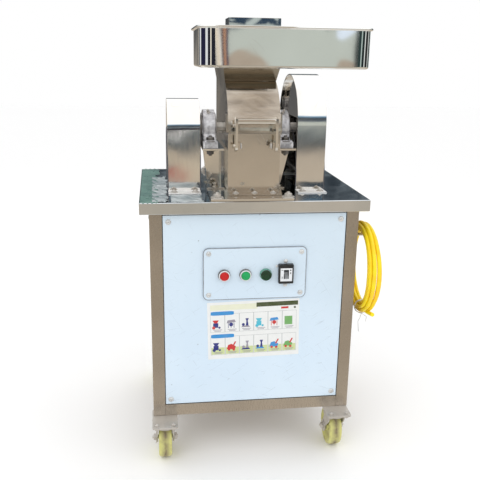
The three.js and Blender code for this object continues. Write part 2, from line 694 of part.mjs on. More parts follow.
// ---------- rotor, bearings and their stands ----------
function addRotor(object) {
  const group = new THREE.Group();
  group.position.set(MILL_X, SHAFT.y, SHAFT.z);
  object.add(group);
  const bore = SHAFT.r + GAP;
  node(
    "rotor_shaft",
    rod("x", SHAFT.r, SHAFT.left - MILL_X, SHAFT.right - MILL_X, 0, 0, 20),
    ZINC_STEEL,
    group,
  );

  const discX = [-48, -16, 16, 48];
  const pins = [45, 135, 225, 315].map((deg) => {
    const a = (deg * Math.PI) / 180;
    return [ROTOR.pinCircle * Math.cos(a), ROTOR.pinCircle * Math.sin(a)];
  });
  const discs = discX.map((x, i) => {
    const inner = i === 1 || i === 2;
    const disc = rod("x", ROTOR.discR, x - ROTOR.discHalf, x + ROTOR.discHalf, 0, 0, 24);
    const holes = pins.map(([y, z]) => rod("x", ROTOR.tubeR + 1, x - 4, x + 4, y, z, 10));
    return inner ? cut(disc, ...holes) : disc;
  });
  const hub = rod("x", ROTOR.hubR, -50.5, 50.5, 0, 0, 20);
  const pinRods = pins.map(([y, z]) => rod("x", ROTOR.pinR, -52, 52, y, z, 8));
  const shaftBore = rod("x", bore, -60, 60, 0, 0, 20);
  node("rotor_discs", cut(join(...discs, hub, ...pinRods), shaftBore), DARK_STEEL, group);

  // Each pin carries three hammers on one spacer tube. At rest they hang straight down.
  pins.forEach(([y, z], i) => {
    const half = ROTOR.hammerWidth / 2;
    const hammers = [-32, 0, 32].map((x) =>
      box(x - 3, x + 3, y - half, y + half, z - ROTOR.hammerReach, z + half),
    );
    const tube = rod("x", ROTOR.tubeR, -44.8, 44.8, y, z, 10);
    const hole = rod("x", ROTOR.pinR + 0.6, -60, 60, y, z, 8);
    node("hammer_set_" + (i + 1), cut(join(tube, ...hammers), hole), DARK_STEEL, group);
  });

  const pulleyX = PULLEY_X - MILL_X;
  node("mill_pulley", groovedPulley(BELT.millR, pulleyX, 0, 0, bore, 24), DARK_STEEL, group);
  const wheelX = FLYWHEEL.x - MILL_X;
  const w = FLYWHEEL.width / 2;
  const flywheel = turnedAboutX(
    [
      [bore, wheelX - 12], [44, wheelX - 6], [46, wheelX - w], [FLYWHEEL.r, wheelX - w],
      [FLYWHEEL.r, wheelX + w], [46, wheelX + w], [44, wheelX + 6], [bore, wheelX + 12],
    ],
    0,
    0,
    24,
  );
  node("flywheel", flywheel, DARK_STEEL, group);
}

function groovedPulley(beltR, x, y, z, bore, sides) {
  const rim = beltR + BELT.outer + 1;
  const floor = beltR - BELT.inner - 1;
  const half = BELT.width / 2 + 7;
  return turnedAboutX(
    [
      [bore, x - half], [rim, x - half], [rim, x - BELT.width / 2 - 1.5],
      [floor, x - BELT.width / 2 - 0.8], [floor, x + BELT.width / 2 + 0.8],
      [rim, x + BELT.width / 2 + 1.5], [rim, x + half], [bore, x + half],
    ],
    y,
    z,
    sides,
  );
}

function addBearing(object, name, x) {
  const { width, length, foot, height } = BEARING;
  const half = width / 2;
  const base = SHAFT.z - height;
  const outline = new THREE.Shape();
  const ringR = 45;
  outline.moveTo(SHAFT.y - length / 2, base);
  outline.lineTo(SHAFT.y + length / 2, base);
  outline.lineTo(SHAFT.y + length / 2, base + foot - 3);
  outline.lineTo(SHAFT.y + ringR + 5, base + foot);
  outline.absarc(SHAFT.y, SHAFT.z, ringR, -0.42, Math.PI + 0.42);
  outline.lineTo(SHAFT.y - ringR - 5, base + foot);
  outline.lineTo(SHAFT.y - length / 2, base + foot - 3);
  const ringHalf = 15.5;
  const body = join(
    slabAlongX(outline, x - ringHalf, x + ringHalf, 12),
    box(x - half, x + half, SHAFT.y - length / 2, SHAFT.y + length / 2, base, base + foot - 4),
    rod("x", 27, x - 21, x + 21, SHAFT.y, SHAFT.z, 20),
  );
  const bore = rod("x", SHAFT.r + GAP, x - 40, x + 40, SHAFT.y, SHAFT.z, 20);
  node("bearing_" + name, cut(body, bore), CAST_STEEL, object);

  // The stand: a top plate that reaches past its web, so the bearing's bolts can pass.
  const top = base - GAP;
  const foot0 = TABLE.top + GAP + BASE.thick + GAP;
  const sign = Math.sign(x);
  const topX = [x - sign * 21, x + sign * 20].sort((a, b) => a - b);
  const wide = sign < 0 ? [-113.5, -67] : [67, 112];
  const narrow = sign < 0 ? [-103, -67] : [67, 88];
  const rib = slabAlongY(
    polygon([
      [narrow[0], foot0], [narrow[1], foot0], [wide[1], top - 1], [wide[0], top - 1],
    ]),
    PEDESTAL.webFront,
    PEDESTAL.webRear,
  );
  const plate = box(
    Math.min(topX[0], wide[0]), Math.max(topX[1], wide[1]), SHAFT.y - length / 2 - 6,
    SHAFT.y + length / 2 + 6, top - PEDESTAL.thick, top,
  );
  node("pedestal_" + name, join(rib, plate), MIRROR_STEEL, object);
}

// ---------- covers ----------
// A sheet cover open below: half round on top, flat in front and behind, with feet.
function coverShell(c) {
  const middle = c.front + c.r;
  const bottom = TABLE.top + GAP;
  const outline = (inset) => {
    const shape = new THREE.Shape();
    shape.moveTo(middle + c.r - inset, bottom - (inset ? 1 : 0));
    shape.lineTo(middle + c.r - inset, c.topZ);
    shape.absarc(middle, c.topZ, c.r - inset, 0, Math.PI);
    shape.lineTo(middle - c.r + inset, bottom - (inset ? 1 : 0));
    return shape;
  };
  const outer = slabAlongX(outline(0), c.left, c.right, 16);
  const inner = slabAlongX(outline(SHEET), c.left + c.recess + SHEET, c.right - SHEET, 16);
  const feet = box(
    c.left, c.right, c.front - COVER_FOOT, middle + c.r + COVER_FOOT, bottom, bottom + SHEET,
  );
  const shell = cut(join(outer, feet), inner);
  if (c.recess) {
    // The side plate is set back in the rim, and ends above an opening as wide as the cover.
    const pocket = slabAlongX(outline(SHEET), c.left - 1, c.left + c.recess, 16);
    const opening = box(
      c.left - 1, c.left + c.recess + SHEET + 1, c.front + SHEET, middle + c.r - SHEET,
      bottom - 1, c.openTo,
    );
    return cut(shell, pocket, opening);
  }
  const slot = box(c.right - 6, c.right + 6, SHAFT.y - 20, SHAFT.y + 20, bottom - 1, SHAFT.z);
  const slotTop = rod("x", 20, c.right - 6, c.right + 6, SHAFT.y, SHAFT.z, 12);
  return cut(shell, slot, slotTop);
}

function addCovers(object) {
  node("left_cover", coverShell(LEFT_COVER), MIRROR_STEEL, object);
  node("right_guard", coverShell(GUARD), MIRROR_STEEL, object);
}

// ---------- drive ----------
function addDrive(object) {
  const motorAxis = [SHAFT.y, MOTOR.z];
  const bearerTop = FRAME.bottom + TUBE;
  const foot = 8;
  const body = join(
    rod("x", MOTOR.r, MOTOR.left + 20, MOTOR.right - 18, ...motorAxis, 24),
    rod("x", MOTOR.r - 5, MOTOR.left, MOTOR.left + 21, ...motorAxis, 24),
    rod("x", MOTOR.r - 8, MOTOR.right - 19, MOTOR.right, ...motorAxis, 24),
    box(-85, 85, SHAFT.y - 70, SHAFT.y + 70, bearerTop + GAP, bearerTop + GAP + foot),
    box(-80, -60, SHAFT.y - 50, SHAFT.y + 50, bearerTop + GAP + 4, MOTOR.z - 40),
    box(60, 80, SHAFT.y - 50, SHAFT.y + 50, bearerTop + GAP + 4, MOTOR.z - 40),
    box(-45, 45, SHAFT.y - 40, SHAFT.y + 40, MOTOR.z + MOTOR.r - 20, MOTOR.z + MOTOR.r + 30),
  );
  const shaftBore = rod("x", 12.8, MOTOR.right - 40, MOTOR.right + 10, ...motorAxis, 16);
  node("motor_body", cut(body, shaftBore), MOTOR_PAINT, object);
  const shaftEnd = rod("x", 12, MOTOR.right - 36, PULLEY_X + 20, ...motorAxis, 16);
  const wheel = groovedPulley(BELT.motorR, PULLEY_X, ...motorAxis, 11, 24);
  node("motor_pulley", join(wheel, shaftEnd), DARK_STEEL, object);

  // The belt's two runs are the outer tangents of the pulleys.
  const span = SHAFT.z - MOTOR.z;
  const lean = Math.asin((BELT.motorR - BELT.millR) / span);
  const loop = (offset) => {
    const low = BELT.motorR + offset;
    const high = BELT.millR + offset;
    const shape = new THREE.Shape();
    shape.moveTo(SHAFT.y + low * Math.cos(lean), MOTOR.z + low * Math.sin(lean));
    shape.lineTo(SHAFT.y + high * Math.cos(lean), SHAFT.z + high * Math.sin(lean));
    shape.absarc(SHAFT.y, SHAFT.z, high, lean, Math.PI - lean);
    shape.lineTo(SHAFT.y - low * Math.cos(lean), MOTOR.z + low * Math.sin(lean));
    shape.absarc(SHAFT.y, MOTOR.z, low, Math.PI - lean, 2 * Math.PI + lean);
    return shape;
  };
  const half = BELT.width / 2;
  const belt = cut(
    slabAlongX(loop(BELT.outer), PULLEY_X - half, PULLEY_X + half, 12),
    slabAlongX(loop(-BELT.inner), PULLEY_X - half - 1, PULLEY_X + half + 1, 12),
  );
  node("drive_belt", belt, RUBBER, object);
}

// ---------- discharge chute ----------
function addChute(object) {
  const top = TABLE.top - SHEET - GAP;
  const outline = (t) =>
    polygon([
      [CHUTE.front + t, top + (t ? 1 : 0)],
      [CHUTE.front + t, CHUTE.knee + t],
      [CHUTE.spout + (t ? 1 : 0), CHUTE.outletLow + 1.4 * t],
      [CHUTE.spout + (t ? 1 : 0), CHUTE.outletHigh - 1.4 * t],
      [CHUTE.rear - t, CHUTE.knee + 10],
      [CHUTE.rear - t, top + (t ? 1 : 0)],
    ].reverse());
  const x0 = MILL_X - CHUTE.halfWidth;
  const x1 = MILL_X + CHUTE.halfWidth;
  const duct = cut(
    slabAlongX(outline(0), x0, x1),
    slabAlongX(outline(SHEET), x0 + SHEET, x1 - SHEET),
  );
  node("discharge_chute", duct, TUBE_STEEL, object);
}

// ---------- hopper tray and feed guard ----------
function addHopper(object) {
  const { left, right, front, rear, bottom, top, corner } = TRAY;
  const plan = (grow) =>
    roundedRectangle(left - grow, right + grow, front - grow, rear + grow, corner + grow);
  const { out, drop } = TRAY_LIP;
  const tray = cut(
    join(slabAlongZ(plan(0), bottom, top, 6), slabAlongZ(plan(out), top - drop, top, 6)),
    slabAlongZ(plan(-SHEET), bottom + SHEET, top + 1, 6),
    box(
      MILL_X - THROAT.halfWidth, MILL_X + THROAT.halfWidth, THROAT.front, THROAT.rear,
      bottom - 1, bottom + SHEET + 1,
    ),
  );
  node("hopper_tray", tray, MIRROR_STEEL, object);

  const g = FEED_GUARD;
  const seat = bottom + SHEET + GAP;
  const guard = cut(
    box(g.left, g.right, g.front, g.rear, seat, g.top),
    box(g.left + SHEET, g.right + 1, g.front + SHEET, g.rear - SHEET, seat - 1, g.top - SHEET),
  );
  node("feed_guard", guard, MIRROR_STEEL, object);
}

// ---------- mains cable ----------
function addCable(object) {
  const panelFace = FRAME.width / 2 - PANEL.recess;
  const boreR = CABLE_R + 0.6;
  const body = join(
    rod("x", GLAND.r, panelFace + GAP, panelFace + 9, GLAND.y, GLAND.z, 6),
    rod("x", 8, panelFace - 16, panelFace + 1, GLAND.y, GLAND.z),
    rod("x", GLAND.r - 2, panelFace + 8, GLAND.x, GLAND.y, GLAND.z),
    rod("z", GLAND.r - 2, GLAND.mouth, GLAND.z + GLAND.r - 2, GLAND.x, GLAND.y),
  );
  const inward = rod("x", boreR, panelFace - 30, GLAND.x, GLAND.y, GLAND.z, 12);
  const downward = rod("z", boreR, GLAND.mouth - 5, GLAND.z + 4, GLAND.x, GLAND.y, 12);
  node("cable_gland", cut(body, inward, downward), BLACK_PLASTIC, object);

  // A peg on a small flange carries the coil.
  const hookZ = COIL.z + COIL.meanR - COIL.halfDepth - HOOK.rodR - 1;
  const hook = join(
    rod("x", HOOK.rodR, panelFace + 2, HOOK.out, COIL.y, hookZ),
    box(
      panelFace + GAP, panelFace + 4, COIL.y - HOOK.flange, COIL.y + HOOK.flange,
      hookZ - HOOK.flange, hookZ + HOOK.flange,
    ),
  );
  node("cable_hook", hook, ZINC_STEEL, object);

  const { x, y, z, meanR, halfWidth, halfDepth } = COIL;
  const section = [];
  const corners = 8;
  for (let i = 0; i < corners; i++) {
    const a = (2 * Math.PI * (i + 0.5)) / corners;
    section.push([meanR + halfDepth * Math.cos(a), x + halfWidth * Math.sin(a)]);
  }
  const ring = turnedAboutX(section, y, z, 28);
  const tail = sweptTube(CABLE_TAIL, CABLE_R, 4, 4);
  node("cable_coil", join(ring, tail), CABLE_YELLOW, object);
  const lead = sweptTube(CABLE_LEAD, CABLE_R, 6, 4);
  node("cable_lead", cut(lead, ring), CABLE_YELLOW, object);
}

// ---------- assembly ----------
const hammerMill = new THREE.Group();
const object = new THREE.Group();
hammerMill.add(object);
addFrame(object);
addTable(object);
addPanels(object);
addControls(object);
for (const [name, place] of Object.entries(CASTER_PLACES)) addCaster(object, name, place);
addCasing(object);
addRotor(object);
addBearing(object, "left", BEARING.leftX);
addBearing(object, "right", BEARING.rightX);
addCovers(object);
addDrive(object);
addChute(object);
addHopper(object);
addCable(object);

// The origin lies under the middle of the object from the table's left edge to the hook's end.
object.position.x = -(HOOK.out - TABLE.width / 2) / 2;

export default hammerMill;
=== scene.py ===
"""Looks of a hammer mill on a wheeled cabinet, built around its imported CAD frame. Metres, +Z up."""

import json
import math
import random

import bpy
from mathutils import Matrix, Vector
from mathutils.geometry import tessellate_polygon


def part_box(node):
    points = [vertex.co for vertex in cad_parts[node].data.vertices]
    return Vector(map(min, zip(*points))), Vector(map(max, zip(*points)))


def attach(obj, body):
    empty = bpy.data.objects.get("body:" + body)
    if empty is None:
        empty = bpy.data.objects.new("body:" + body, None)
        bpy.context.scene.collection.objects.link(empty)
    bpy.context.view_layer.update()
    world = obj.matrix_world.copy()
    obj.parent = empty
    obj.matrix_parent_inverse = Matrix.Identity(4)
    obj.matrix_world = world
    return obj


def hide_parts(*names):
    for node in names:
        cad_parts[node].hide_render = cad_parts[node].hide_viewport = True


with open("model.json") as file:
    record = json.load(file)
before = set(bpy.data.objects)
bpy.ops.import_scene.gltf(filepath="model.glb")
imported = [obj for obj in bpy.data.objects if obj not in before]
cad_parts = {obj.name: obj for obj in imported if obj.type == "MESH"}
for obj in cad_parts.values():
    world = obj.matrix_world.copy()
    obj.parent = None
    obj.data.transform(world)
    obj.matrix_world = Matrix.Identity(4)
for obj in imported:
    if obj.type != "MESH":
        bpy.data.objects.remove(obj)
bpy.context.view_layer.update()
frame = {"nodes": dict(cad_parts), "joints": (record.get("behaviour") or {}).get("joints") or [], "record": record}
NODES = frame["nodes"]
SLOT_OF = {s["node"]: s["material_slot"] for s in frame["record"]["subparts"]}
TAU = 2 * math.pi
CORNERS = ("front_left", "front_right", "rear_left", "rear_right")
MATERIALS = {}


def middle(node):
    low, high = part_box(node)
    return (low + high) / 2


# ---------- places read from the frame ----------
AXIS_Y, AXIS_Z = middle("rotor_shaft").y, middle("rotor_shaft").z
DECK_LO, DECK_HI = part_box("table_top")
PANEL_LO, PANEL_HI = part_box("front_panel")
PLATE_LO, PLATE_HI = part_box("control_plate")
TRAY_LO, TRAY_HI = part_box("hopper_tray")
MILL_BASE_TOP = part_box("mill_base_plate")[1].z
FOOT_TOP = MILL_BASE_TOP + 0.0033  # top of the folded feet on the mill's base plate
SHEET = 0.002  # the tray's sheet
RIM_OUT = 0.006  # the tray's rolled rim stands out this far
TRAY_CORNER = 0.036  # radius of the tray's round corners
CLEAR_OF_LEGS = 0.222  # caster bolts further out than this along Y are clear of the legs

# ---------- the cable: route and coil ----------
CABLE_R = 0.005
COIL_X = 0.278
COIL_Y = -0.156
COIL_Z = 0.482
COIL_R = 0.106
COIL_TURNS = 6
BUNDLE, BUNDLE_SIDE = 0.0095, 0.0098  # across the bundle the turns go round once, this far out
SLACK_FRONT = {2: 0.044, 3: 0.020}  # how far these turns hang inwards in front
SLACK_REAR = {4: 0.030}
# From the gland down to the coil, and from the coil's foot to the cut end.
LEAD = [(0.2775, -0.048, 0.563), (0.2775, -0.048, 0.552),
        (0.2775, -0.0482, 0.540), (0.2775, -0.0488, 0.528)]
TAIL = [(0.2775, -0.180, 0.379), (0.2795, -0.214, 0.377), (0.2815, -0.252, 0.386)]


# ---------- camera ----------
def add_camera():
    """At a standing person's chest height, a little left of the machine and looking down at it."""
    yaw, pitch, roll = math.radians(7.678), math.radians(15.827), math.radians(0.841)
    ahead = Vector((math.sin(yaw) * math.cos(pitch), math.cos(yaw) * math.cos(pitch), -math.sin(pitch)))
    level = Vector((math.cos(yaw), -math.sin(yaw), 0))
    upward = level.cross(ahead)
    eye = (-0.2492, -1.6927, 0.9998)
    right = math.cos(roll) * level + math.sin(roll) * upward
    up = math.cos(roll) * upward - math.sin(roll) * level
    camera = bpy.data.objects.new("camera", bpy.data.cameras.new("camera"))
    camera.data.lens = 48.35
    camera.data.sensor_width = 36
    turn = Matrix((right, up, -ahead)).transposed().to_4x4()
    camera.matrix_world = Matrix.Translation(eye) @ turn
    bpy.context.scene.collection.objects.link(camera)
    bpy.context.scene.camera = camera


# ---------- node materials ----------
class Nodes:
    """Small procedural node chains in one node tree."""

    def __init__(self, tree, coordinates):
        self.tree = tree
        self.place = tree.nodes.new("ShaderNodeTexCoord").outputs[coordinates]

    def put(self, socket, value):
        """Links an output to a socket, or sets the socket's own value."""
        if isinstance(value, bpy.types.NodeSocket):
            self.tree.links.new(value, socket)
        else:
            socket.default_value = (*value, 1) if socket.type == "RGBA" else value

    def node(self, kind, inputs, **settings):
        made = self.tree.nodes.new(kind)
        for key, value in settings.items():
            setattr(made, key, value)
        for key, value in inputs.items():
            self.put(made.inputs[key], value)
        return made

    def noise(self, scale, detail=3.0, stretch=(1, 1, 1), distortion=0.0):
        mapping = self.node("ShaderNodeMapping", {"Vector": self.place, "Scale": stretch})
        return self.node("ShaderNodeTexNoise", {"Vector": mapping.outputs["Vector"], "Scale": scale,
                                                "Detail": detail, "Distortion": distortion}).outputs["Fac"]

    def cells(self, scale):
        inputs = {"Vector": self.place, "Scale": scale}
        return self.node("ShaderNodeTexVoronoi", inputs, feature="F1").outputs["Distance"]

    def ranged(self, value, low, high, to_low=0.0, to_high=1.0):
        return self.node("ShaderNodeMapRange", {"Value": value, "From Min": low, "From Max": high,
                                                "To Min": to_low, "To Max": to_high}).outputs["Result"]

    def maths(self, operation, a, b=0.0):
        return self.node("ShaderNodeMath", {0: a, 1: b}, operation=operation).outputs[0]

    def mixed(self, factor, first, second):
        return self.node("ShaderNodeMix", {0: factor, 6: first, 7: second}, data_type="RGBA").outputs[2]

    def axes(self):
        return self.node("ShaderNodeSeparateXYZ", {0: self.place}).outputs

    def ramp(self, value, stops):
        """Colours along a value: each stop is (value, colour), from the lowest up."""
        low, high = stops[0][0], stops[-1][0]
        made = self.node("ShaderNodeValToRGB", {"Fac": self.ranged(value, low, high)})
        elements = made.color_ramp.elements
        for at, colour in stops[1:-1]:
            elements.new((at - low) / (high - low))
        for element, (at, colour) in zip(elements, stops):
            element.color = (*colour, 1)
        return made.outputs["Color"]

    def clouds(self, scale, detail, low, high, first, second):
        """Two colours mixed by a noise: the first below low, the second above high."""
        return self.mixed(self.ranged(self.noise(scale, detail), low, high), first, second)

    def distance(self, value, middle):
        return self.maths("ABSOLUTE", self.maths("SUBTRACT", value, middle))

    def both(self, a, b):
        return self.maths("MULTIPLY", a, b)

    def band(self, value, low, low_end, high, high_end):
        """Rises from low to low_end, stays 1, and falls from high to high_end."""
        return self.both(self.ranged(value, low, low_end), self.ranged(value, high, high_end, 1, 0))

    def spot(self, a, b, centre, radius, soft):
        """1 inside a round spot of the plane of two values, falling to 0 outside it."""
        across = self.maths("SUBTRACT", a, centre[0])
        down = self.maths("SUBTRACT", b, centre[1])
        squared = self.maths("ADD", self.both(across, across), self.both(down, down))
        return self.ranged(self.maths("SQRT", squared), radius, radius + soft, 1, 0)

    def streaks(self, degrees, length, width, threshold):
        """Straight fine scratches across the front at an angle, as long and wide as given in metres."""
        mapping = self.node("ShaderNodeMapping", {
            "Vector": self.place, "Rotation": (0, math.radians(degrees), 0),
            "Scale": (length, 1, width)}, vector_type="TEXTURE")
        texture = self.node("ShaderNodeTexNoise", {"Vector": mapping.outputs["Vector"], "Scale": 1,
                                                   "Detail": 0})
        return self.ranged(texture.outputs["Fac"], threshold, threshold + 0.03)

    def scratches(self, scale, width):
        """Thin wandering lines, 1 on a line and 0 off it, broken up by a second noise."""
        line = self.distance(self.noise(scale, 1.5, distortion=0.6), 0.5)
        broken = self.ranged(self.noise(scale * 2.3, 2), 0.5, 0.62)
        return self.both(self.ranged(line, 0, width, 1, 0), broken)


class Paint(Nodes):
    """A Principled material whose socket values come from node chains."""

    def __init__(self, name, **sockets):
        self.material = bpy.data.materials.new(name)
        self.material.use_nodes = True
        super().__init__(self.material.node_tree, "Object")
        self.shader = self.tree.nodes["Principled BSDF"]
        for socket, value in sockets.items():
            self.feed(socket.replace("_", " "), value)

    def feed(self, socket, value):
        self.put(self.shader.inputs[socket], value)

    def colour(self, value):
        self.feed("Base Color", value)

    def rough(self, scale, detail, smoothest, roughest, stretch=(1, 1, 1)):
        noise = self.noise(scale, detail, stretch)
        self.feed("Roughness", self.ranged(noise, 0.3, 0.7, smoothest, roughest))

    def bump(self, height, distance, strength=1.0):
        inputs = {"Height": height, "Distance": distance, "Strength": strength}
        self.feed("Normal", self.node("ShaderNodeBump", inputs).outputs["Normal"])


# Rolling grain drawn out along X or Z.
GRAIN_X, GRAIN_Z = (1, 30, 30), (30, 30, 1)


def steel(name, light, dark, rough, grain, wave=0.0, mark=0.0018):
    """Stainless sheet: slow tint changes and scratches, with either a slow wave or a rolling grain."""
    paint = Paint(name, Metallic=1.0)
    marks = paint.scratches(9, mark)
    tint = paint.clouds(5, 4, 0.3, 0.7, dark, light)
    paint.colour(paint.mixed(paint.ranged(marks, 0, 1, 0, 0.35), tint, (0.30, 0.28, 0.26)))
    brushed = paint.ranged(paint.noise(60, 2, grain), 0.25, 0.75, rough * 0.7, rough * 1.35)
    paint.feed("Roughness", paint.maths("ADD", brushed, paint.ranged(marks, 0, 1, 0, 0.25)))
    if wave:
        paint.bump(paint.noise(7, 1), wave)
    else:
        paint.bump(paint.noise(120, 2, grain), 0.00006)
    return paint.material


def hood_steel():
    """The casing's sheet, smudged, with painted shade darkening the collar just under the tray."""
    paint = Paint("hood_steel", Metallic=1.0)
    smudges = paint.ranged(paint.noise(11, 4, (1, 1, 2.5), 0.6), 0.42, 0.66, 0, 0.75)
    tint = paint.mixed(smudges, (0.72, 0.67, 0.60), (0.44, 0.40, 0.35))
    # Painted shade: the collar just under the tray is darkened where the tray's shadow falls.
    shade_under_tray = paint.ranged(paint.axes()[2], TRAY_LO.z - 0.055, TRAY_LO.z - 0.030, 0, 0.8)
    paint.colour(paint.mixed(shade_under_tray, tint, (0.24, 0.20, 0.14)))
    paint.feed("Roughness", paint.ranged(paint.noise(60, 2, GRAIN_X), 0.25, 0.75, 0.10, 0.19))
    paint.bump(paint.noise(7, 1), 0.0012)
    return paint.material


def film():
    """Pale blue protective film: clouding, painted shade darker towards the top, with fine scratches and small
    nicks.
    """
    paint = Paint("film", Roughness=0.36, Coat_Weight=0.15, Coat_Roughness=0.3)
    base = paint.clouds(3.2, 4, 0.35, 0.7, (0.63, 0.755, 0.875), (0.70, 0.815, 0.915))
    fine = paint.streaks(-32, 0.050, 0.0012, 0.80)
    for degrees, length, width, threshold in ((58, 0.055, 0.0012, 0.81), (20, 0.070, 0.0012, 0.82),
                                              (-55, 0.020, 0.0010, 0.82), (-8, 0.030, 0.0012, 0.82)):
        fine = paint.maths("MAXIMUM", fine, paint.streaks(degrees, length, width, threshold))
    base = paint.mixed(paint.ranged(fine, 0, 1, 0, 0.6), base, (0.30, 0.36, 0.42))
    # Painted shade: the film's colour darkens towards the top.
    shade_towards_top = paint.ranged(paint.axes()[2], 0.25, 0.62, 0, 0.5)
    base = paint.mixed(shade_towards_top, base, (0.56, 0.66, 0.73))
    nicks = paint.both(paint.ranged(paint.cells(34), 0.0, 0.07, 1, 0),
                       paint.ranged(paint.noise(9, 1), 0.53, 0.56))
    paint.colour(paint.mixed(nicks, base, (0.16, 0.18, 0.20)))
    paint.bump(paint.noise(14, 4), 0.0008, 0.5)
    return paint.material


def cover_steel():
    """Polished cover sheet, with a rougher flange where the deck's film was peeled off it, whose lighter colour is
    a painted sheen from the bright light above.
    """
    paint = Paint("cover_steel", Metallic=1.0)
    flange = paint.ranged(paint.axes()[2], DECK_HI.z + 0.0026, DECK_HI.z + 0.0034, 1, 0)
    marks = paint.scratches(8, 0.004)
    tint = paint.clouds(6, 4, 0.3, 0.7, (0.80, 0.77, 0.73), (0.88, 0.86, 0.83))
    tint = paint.mixed(paint.ranged(marks, 0, 1, 0, 0.3), tint, (0.34, 0.31, 0.29))
    # The flange's lighter colour is a painted sheen; its extra roughness below is the real finish.
    paint.colour(paint.mixed(flange, tint, (0.95, 0.95, 0.95)))
    brushed = paint.ranged(paint.noise(50, 2, GRAIN_Z), 0.25, 0.75, 0.06, 0.12)
    paint.feed("Roughness", paint.maths("ADD", brushed, paint.both(flange, 0.42)))
    paint.bump(paint.noise(5.5, 1.5, distortion=0.5), 0.0026)
    return paint.material


def peeled_film(name, light, dark):
    """Torn remains of a protective film: crumpled and half stuck down, with painted shade darkening the low parts
    of its creases.
    """
    paint = Paint(name, Coat_Weight=0.5, Coat_Roughness=0.12)
    creases = paint.noise(16, 3, distortion=0.9)
    # Painted shade: darker where the creases lie low, lighter on their raised folds.
    paint.colour(paint.mixed(paint.ranged(creases, 0.36, 0.64), dark, light))
    paint.rough(60, 3, 0.245, 0.455)
    paint.bump(creases, 0.0012)
    return paint.material


def plastic(name, colour, shade, rough, coat=0.0):
    """Moulded plastic, paint or rubber: a slightly uneven colour under an optional clear coat."""
    paint = Paint(name, Coat_Weight=coat, Coat_Roughness=0.08)
    paint.colour(paint.clouds(70, 3, 0.35, 0.7, shade, colour))
    paint.rough(220, 2, rough * 0.85, rough * 1.15)
    paint.bump(paint.noise(900, 2), 0.00004)
    return paint.material


def nylon(name, middle_x):
    """Yellow-green nylon wheel: a dirty seam round its middle and a scuffed, dusty tread."""
    paint = Paint(name, Subsurface_Weight=0.05, Subsurface_Radius=(0.004, 0.004, 0.002))
    off_middle = paint.distance(paint.axes()[0], middle_x)
    seam = paint.both(paint.ranged(off_middle, 0.0015, 0.0130, 1, 0),
                      paint.ranged(paint.noise(60, 4), 0.3, 0.55, 0.35, 1))
    dusty = paint.maths("MAXIMUM", paint.ranged(paint.noise(45, 5), 0.54, 0.74, 0, 0.7), seam)
    paint.colour(paint.mixed(dusty, (0.64, 0.62, 0.22), (0.27, 0.22, 0.13)))
    paint.feed("Roughness", paint.ranged(dusty, 0, 1, 0.35, 0.7))
    paint.bump(paint.noise(160, 4), 0.0003)
    return paint.material


def casting():
    """Silver-painted sand casting."""
    paint = Paint("casting", Metallic=0.45)
    paint.colour(paint.clouds(90, 4, 0.38, 0.62, (0.50, 0.50, 0.53), (0.82, 0.82, 0.85)))
    paint.rough(200, 3, 0.3, 0.55)
    paint.bump(paint.noise(420, 4), 0.0005)
    return paint.material


def machined(name, light, dark, rough, metallic=1.0):
    """Turned or plated steel, a little cloudy."""
    paint = Paint(name, Metallic=metallic)
    paint.colour(paint.clouds(24, 3, 0.35, 0.7, dark, light))
    paint.rough(90, 2, rough * 0.8, rough * 1.2, (6, 1, 1))
    return paint.material


def sheath():
    """Yellow PVC cable sheath: warmer where it is rubbed, with a fine drawn grain."""
    paint = Paint("sheath", Coat_Weight=0.15, Coat_Roughness=0.3)
    paint.colour(paint.clouds(28, 3, 0.4, 0.7, (1.0, 0.76, 0.004), (0.97, 0.60, 0.004)))
    paint.rough(120, 2, 0.34, 0.5)
    paint.bump(paint.noise(260, 2), 0.0002)
    return paint.material


def perforated():
    """Screen sheet: punched holes in staggered rows, duller than the sheet and painted near black as the shade
    seen through them.
    """
    paint = Paint("perforated", Metallic=1.0)
    holes = paint.ranged(paint.cells(210), 0.28, 0.34, 1, 0)
    # Painted shade: the holes are near black for the dark seen through them.
    paint.colour(paint.mixed(holes, (0.62, 0.61, 0.60), (0.015, 0.015, 0.015)))
    paint.feed("Roughness", paint.ranged(holes, 0, 1, 0.32, 0.9))
    paint.bump(paint.maths("SUBTRACT", 1.0, holes), 0.0006)
    return paint.material


# Plain printing inks of the picture label.
INKS = {"ink_white": (0.80, 0.81, 0.80), "ink_cream": (0.76, 0.77, 0.60), "ink_lime": (0.58, 0.66, 0.32),
        "ink_olive": (0.045, 0.065, 0.012), "ink_blue": (0.02, 0.26, 0.62), "ink_navy": (0.012, 0.02, 0.20),
        "ink_cyan": (0.07, 0.48, 0.62), "ink_red": (0.58, 0.03, 0.03), "ink_green": (0.16, 0.40, 0.12),
        "ink_grey": (0.30, 0.28, 0.34), "ink_line": (0.40, 0.43, 0.43)}


def printed(name, colour):
    """Glossy printed film: the ink varies a little, and the film on it is slightly rippled."""
    paint = Paint(name, Roughness=0.32, Coat_Weight=0.3, Coat_Roughness=0.15)
    faded = tuple(0.9 * c + 0.05 for c in colour)
    paint.colour(paint.clouds(55, 3, 0.4, 0.7, colour, faded))
    paint.bump(paint.noise(30, 2), 0.0003, 0.5)
    return paint.material


# Each sheet steel: light and dark tint, roughness, grain, depth of the sheet's wave, width of a scratch.
STEELS = {
    "mirror_steel": ((0.80, 0.77, 0.72), (0.70, 0.67, 0.62), 0.085, GRAIN_X, 0.0016),
    "casing_steel": ((0.74, 0.69, 0.62), (0.66, 0.61, 0.54), 0.13, GRAIN_X, 0.0012),
    "tray_steel": ((0.88, 0.88, 0.86), (0.82, 0.82, 0.80), 0.035, GRAIN_X, 0.0009, 0.0004),
    "guard_steel": ((0.74, 0.76, 0.77), (0.52, 0.55, 0.57), 0.02, GRAIN_X, 0.0009),
    "deck_steel": ((0.80, 0.82, 0.84), (0.62, 0.66, 0.68), 0.06, GRAIN_X, 0.0012),
    "tube_steel": ((0.60, 0.54, 0.47), (0.48, 0.43, 0.37), 0.30, GRAIN_Z),
}
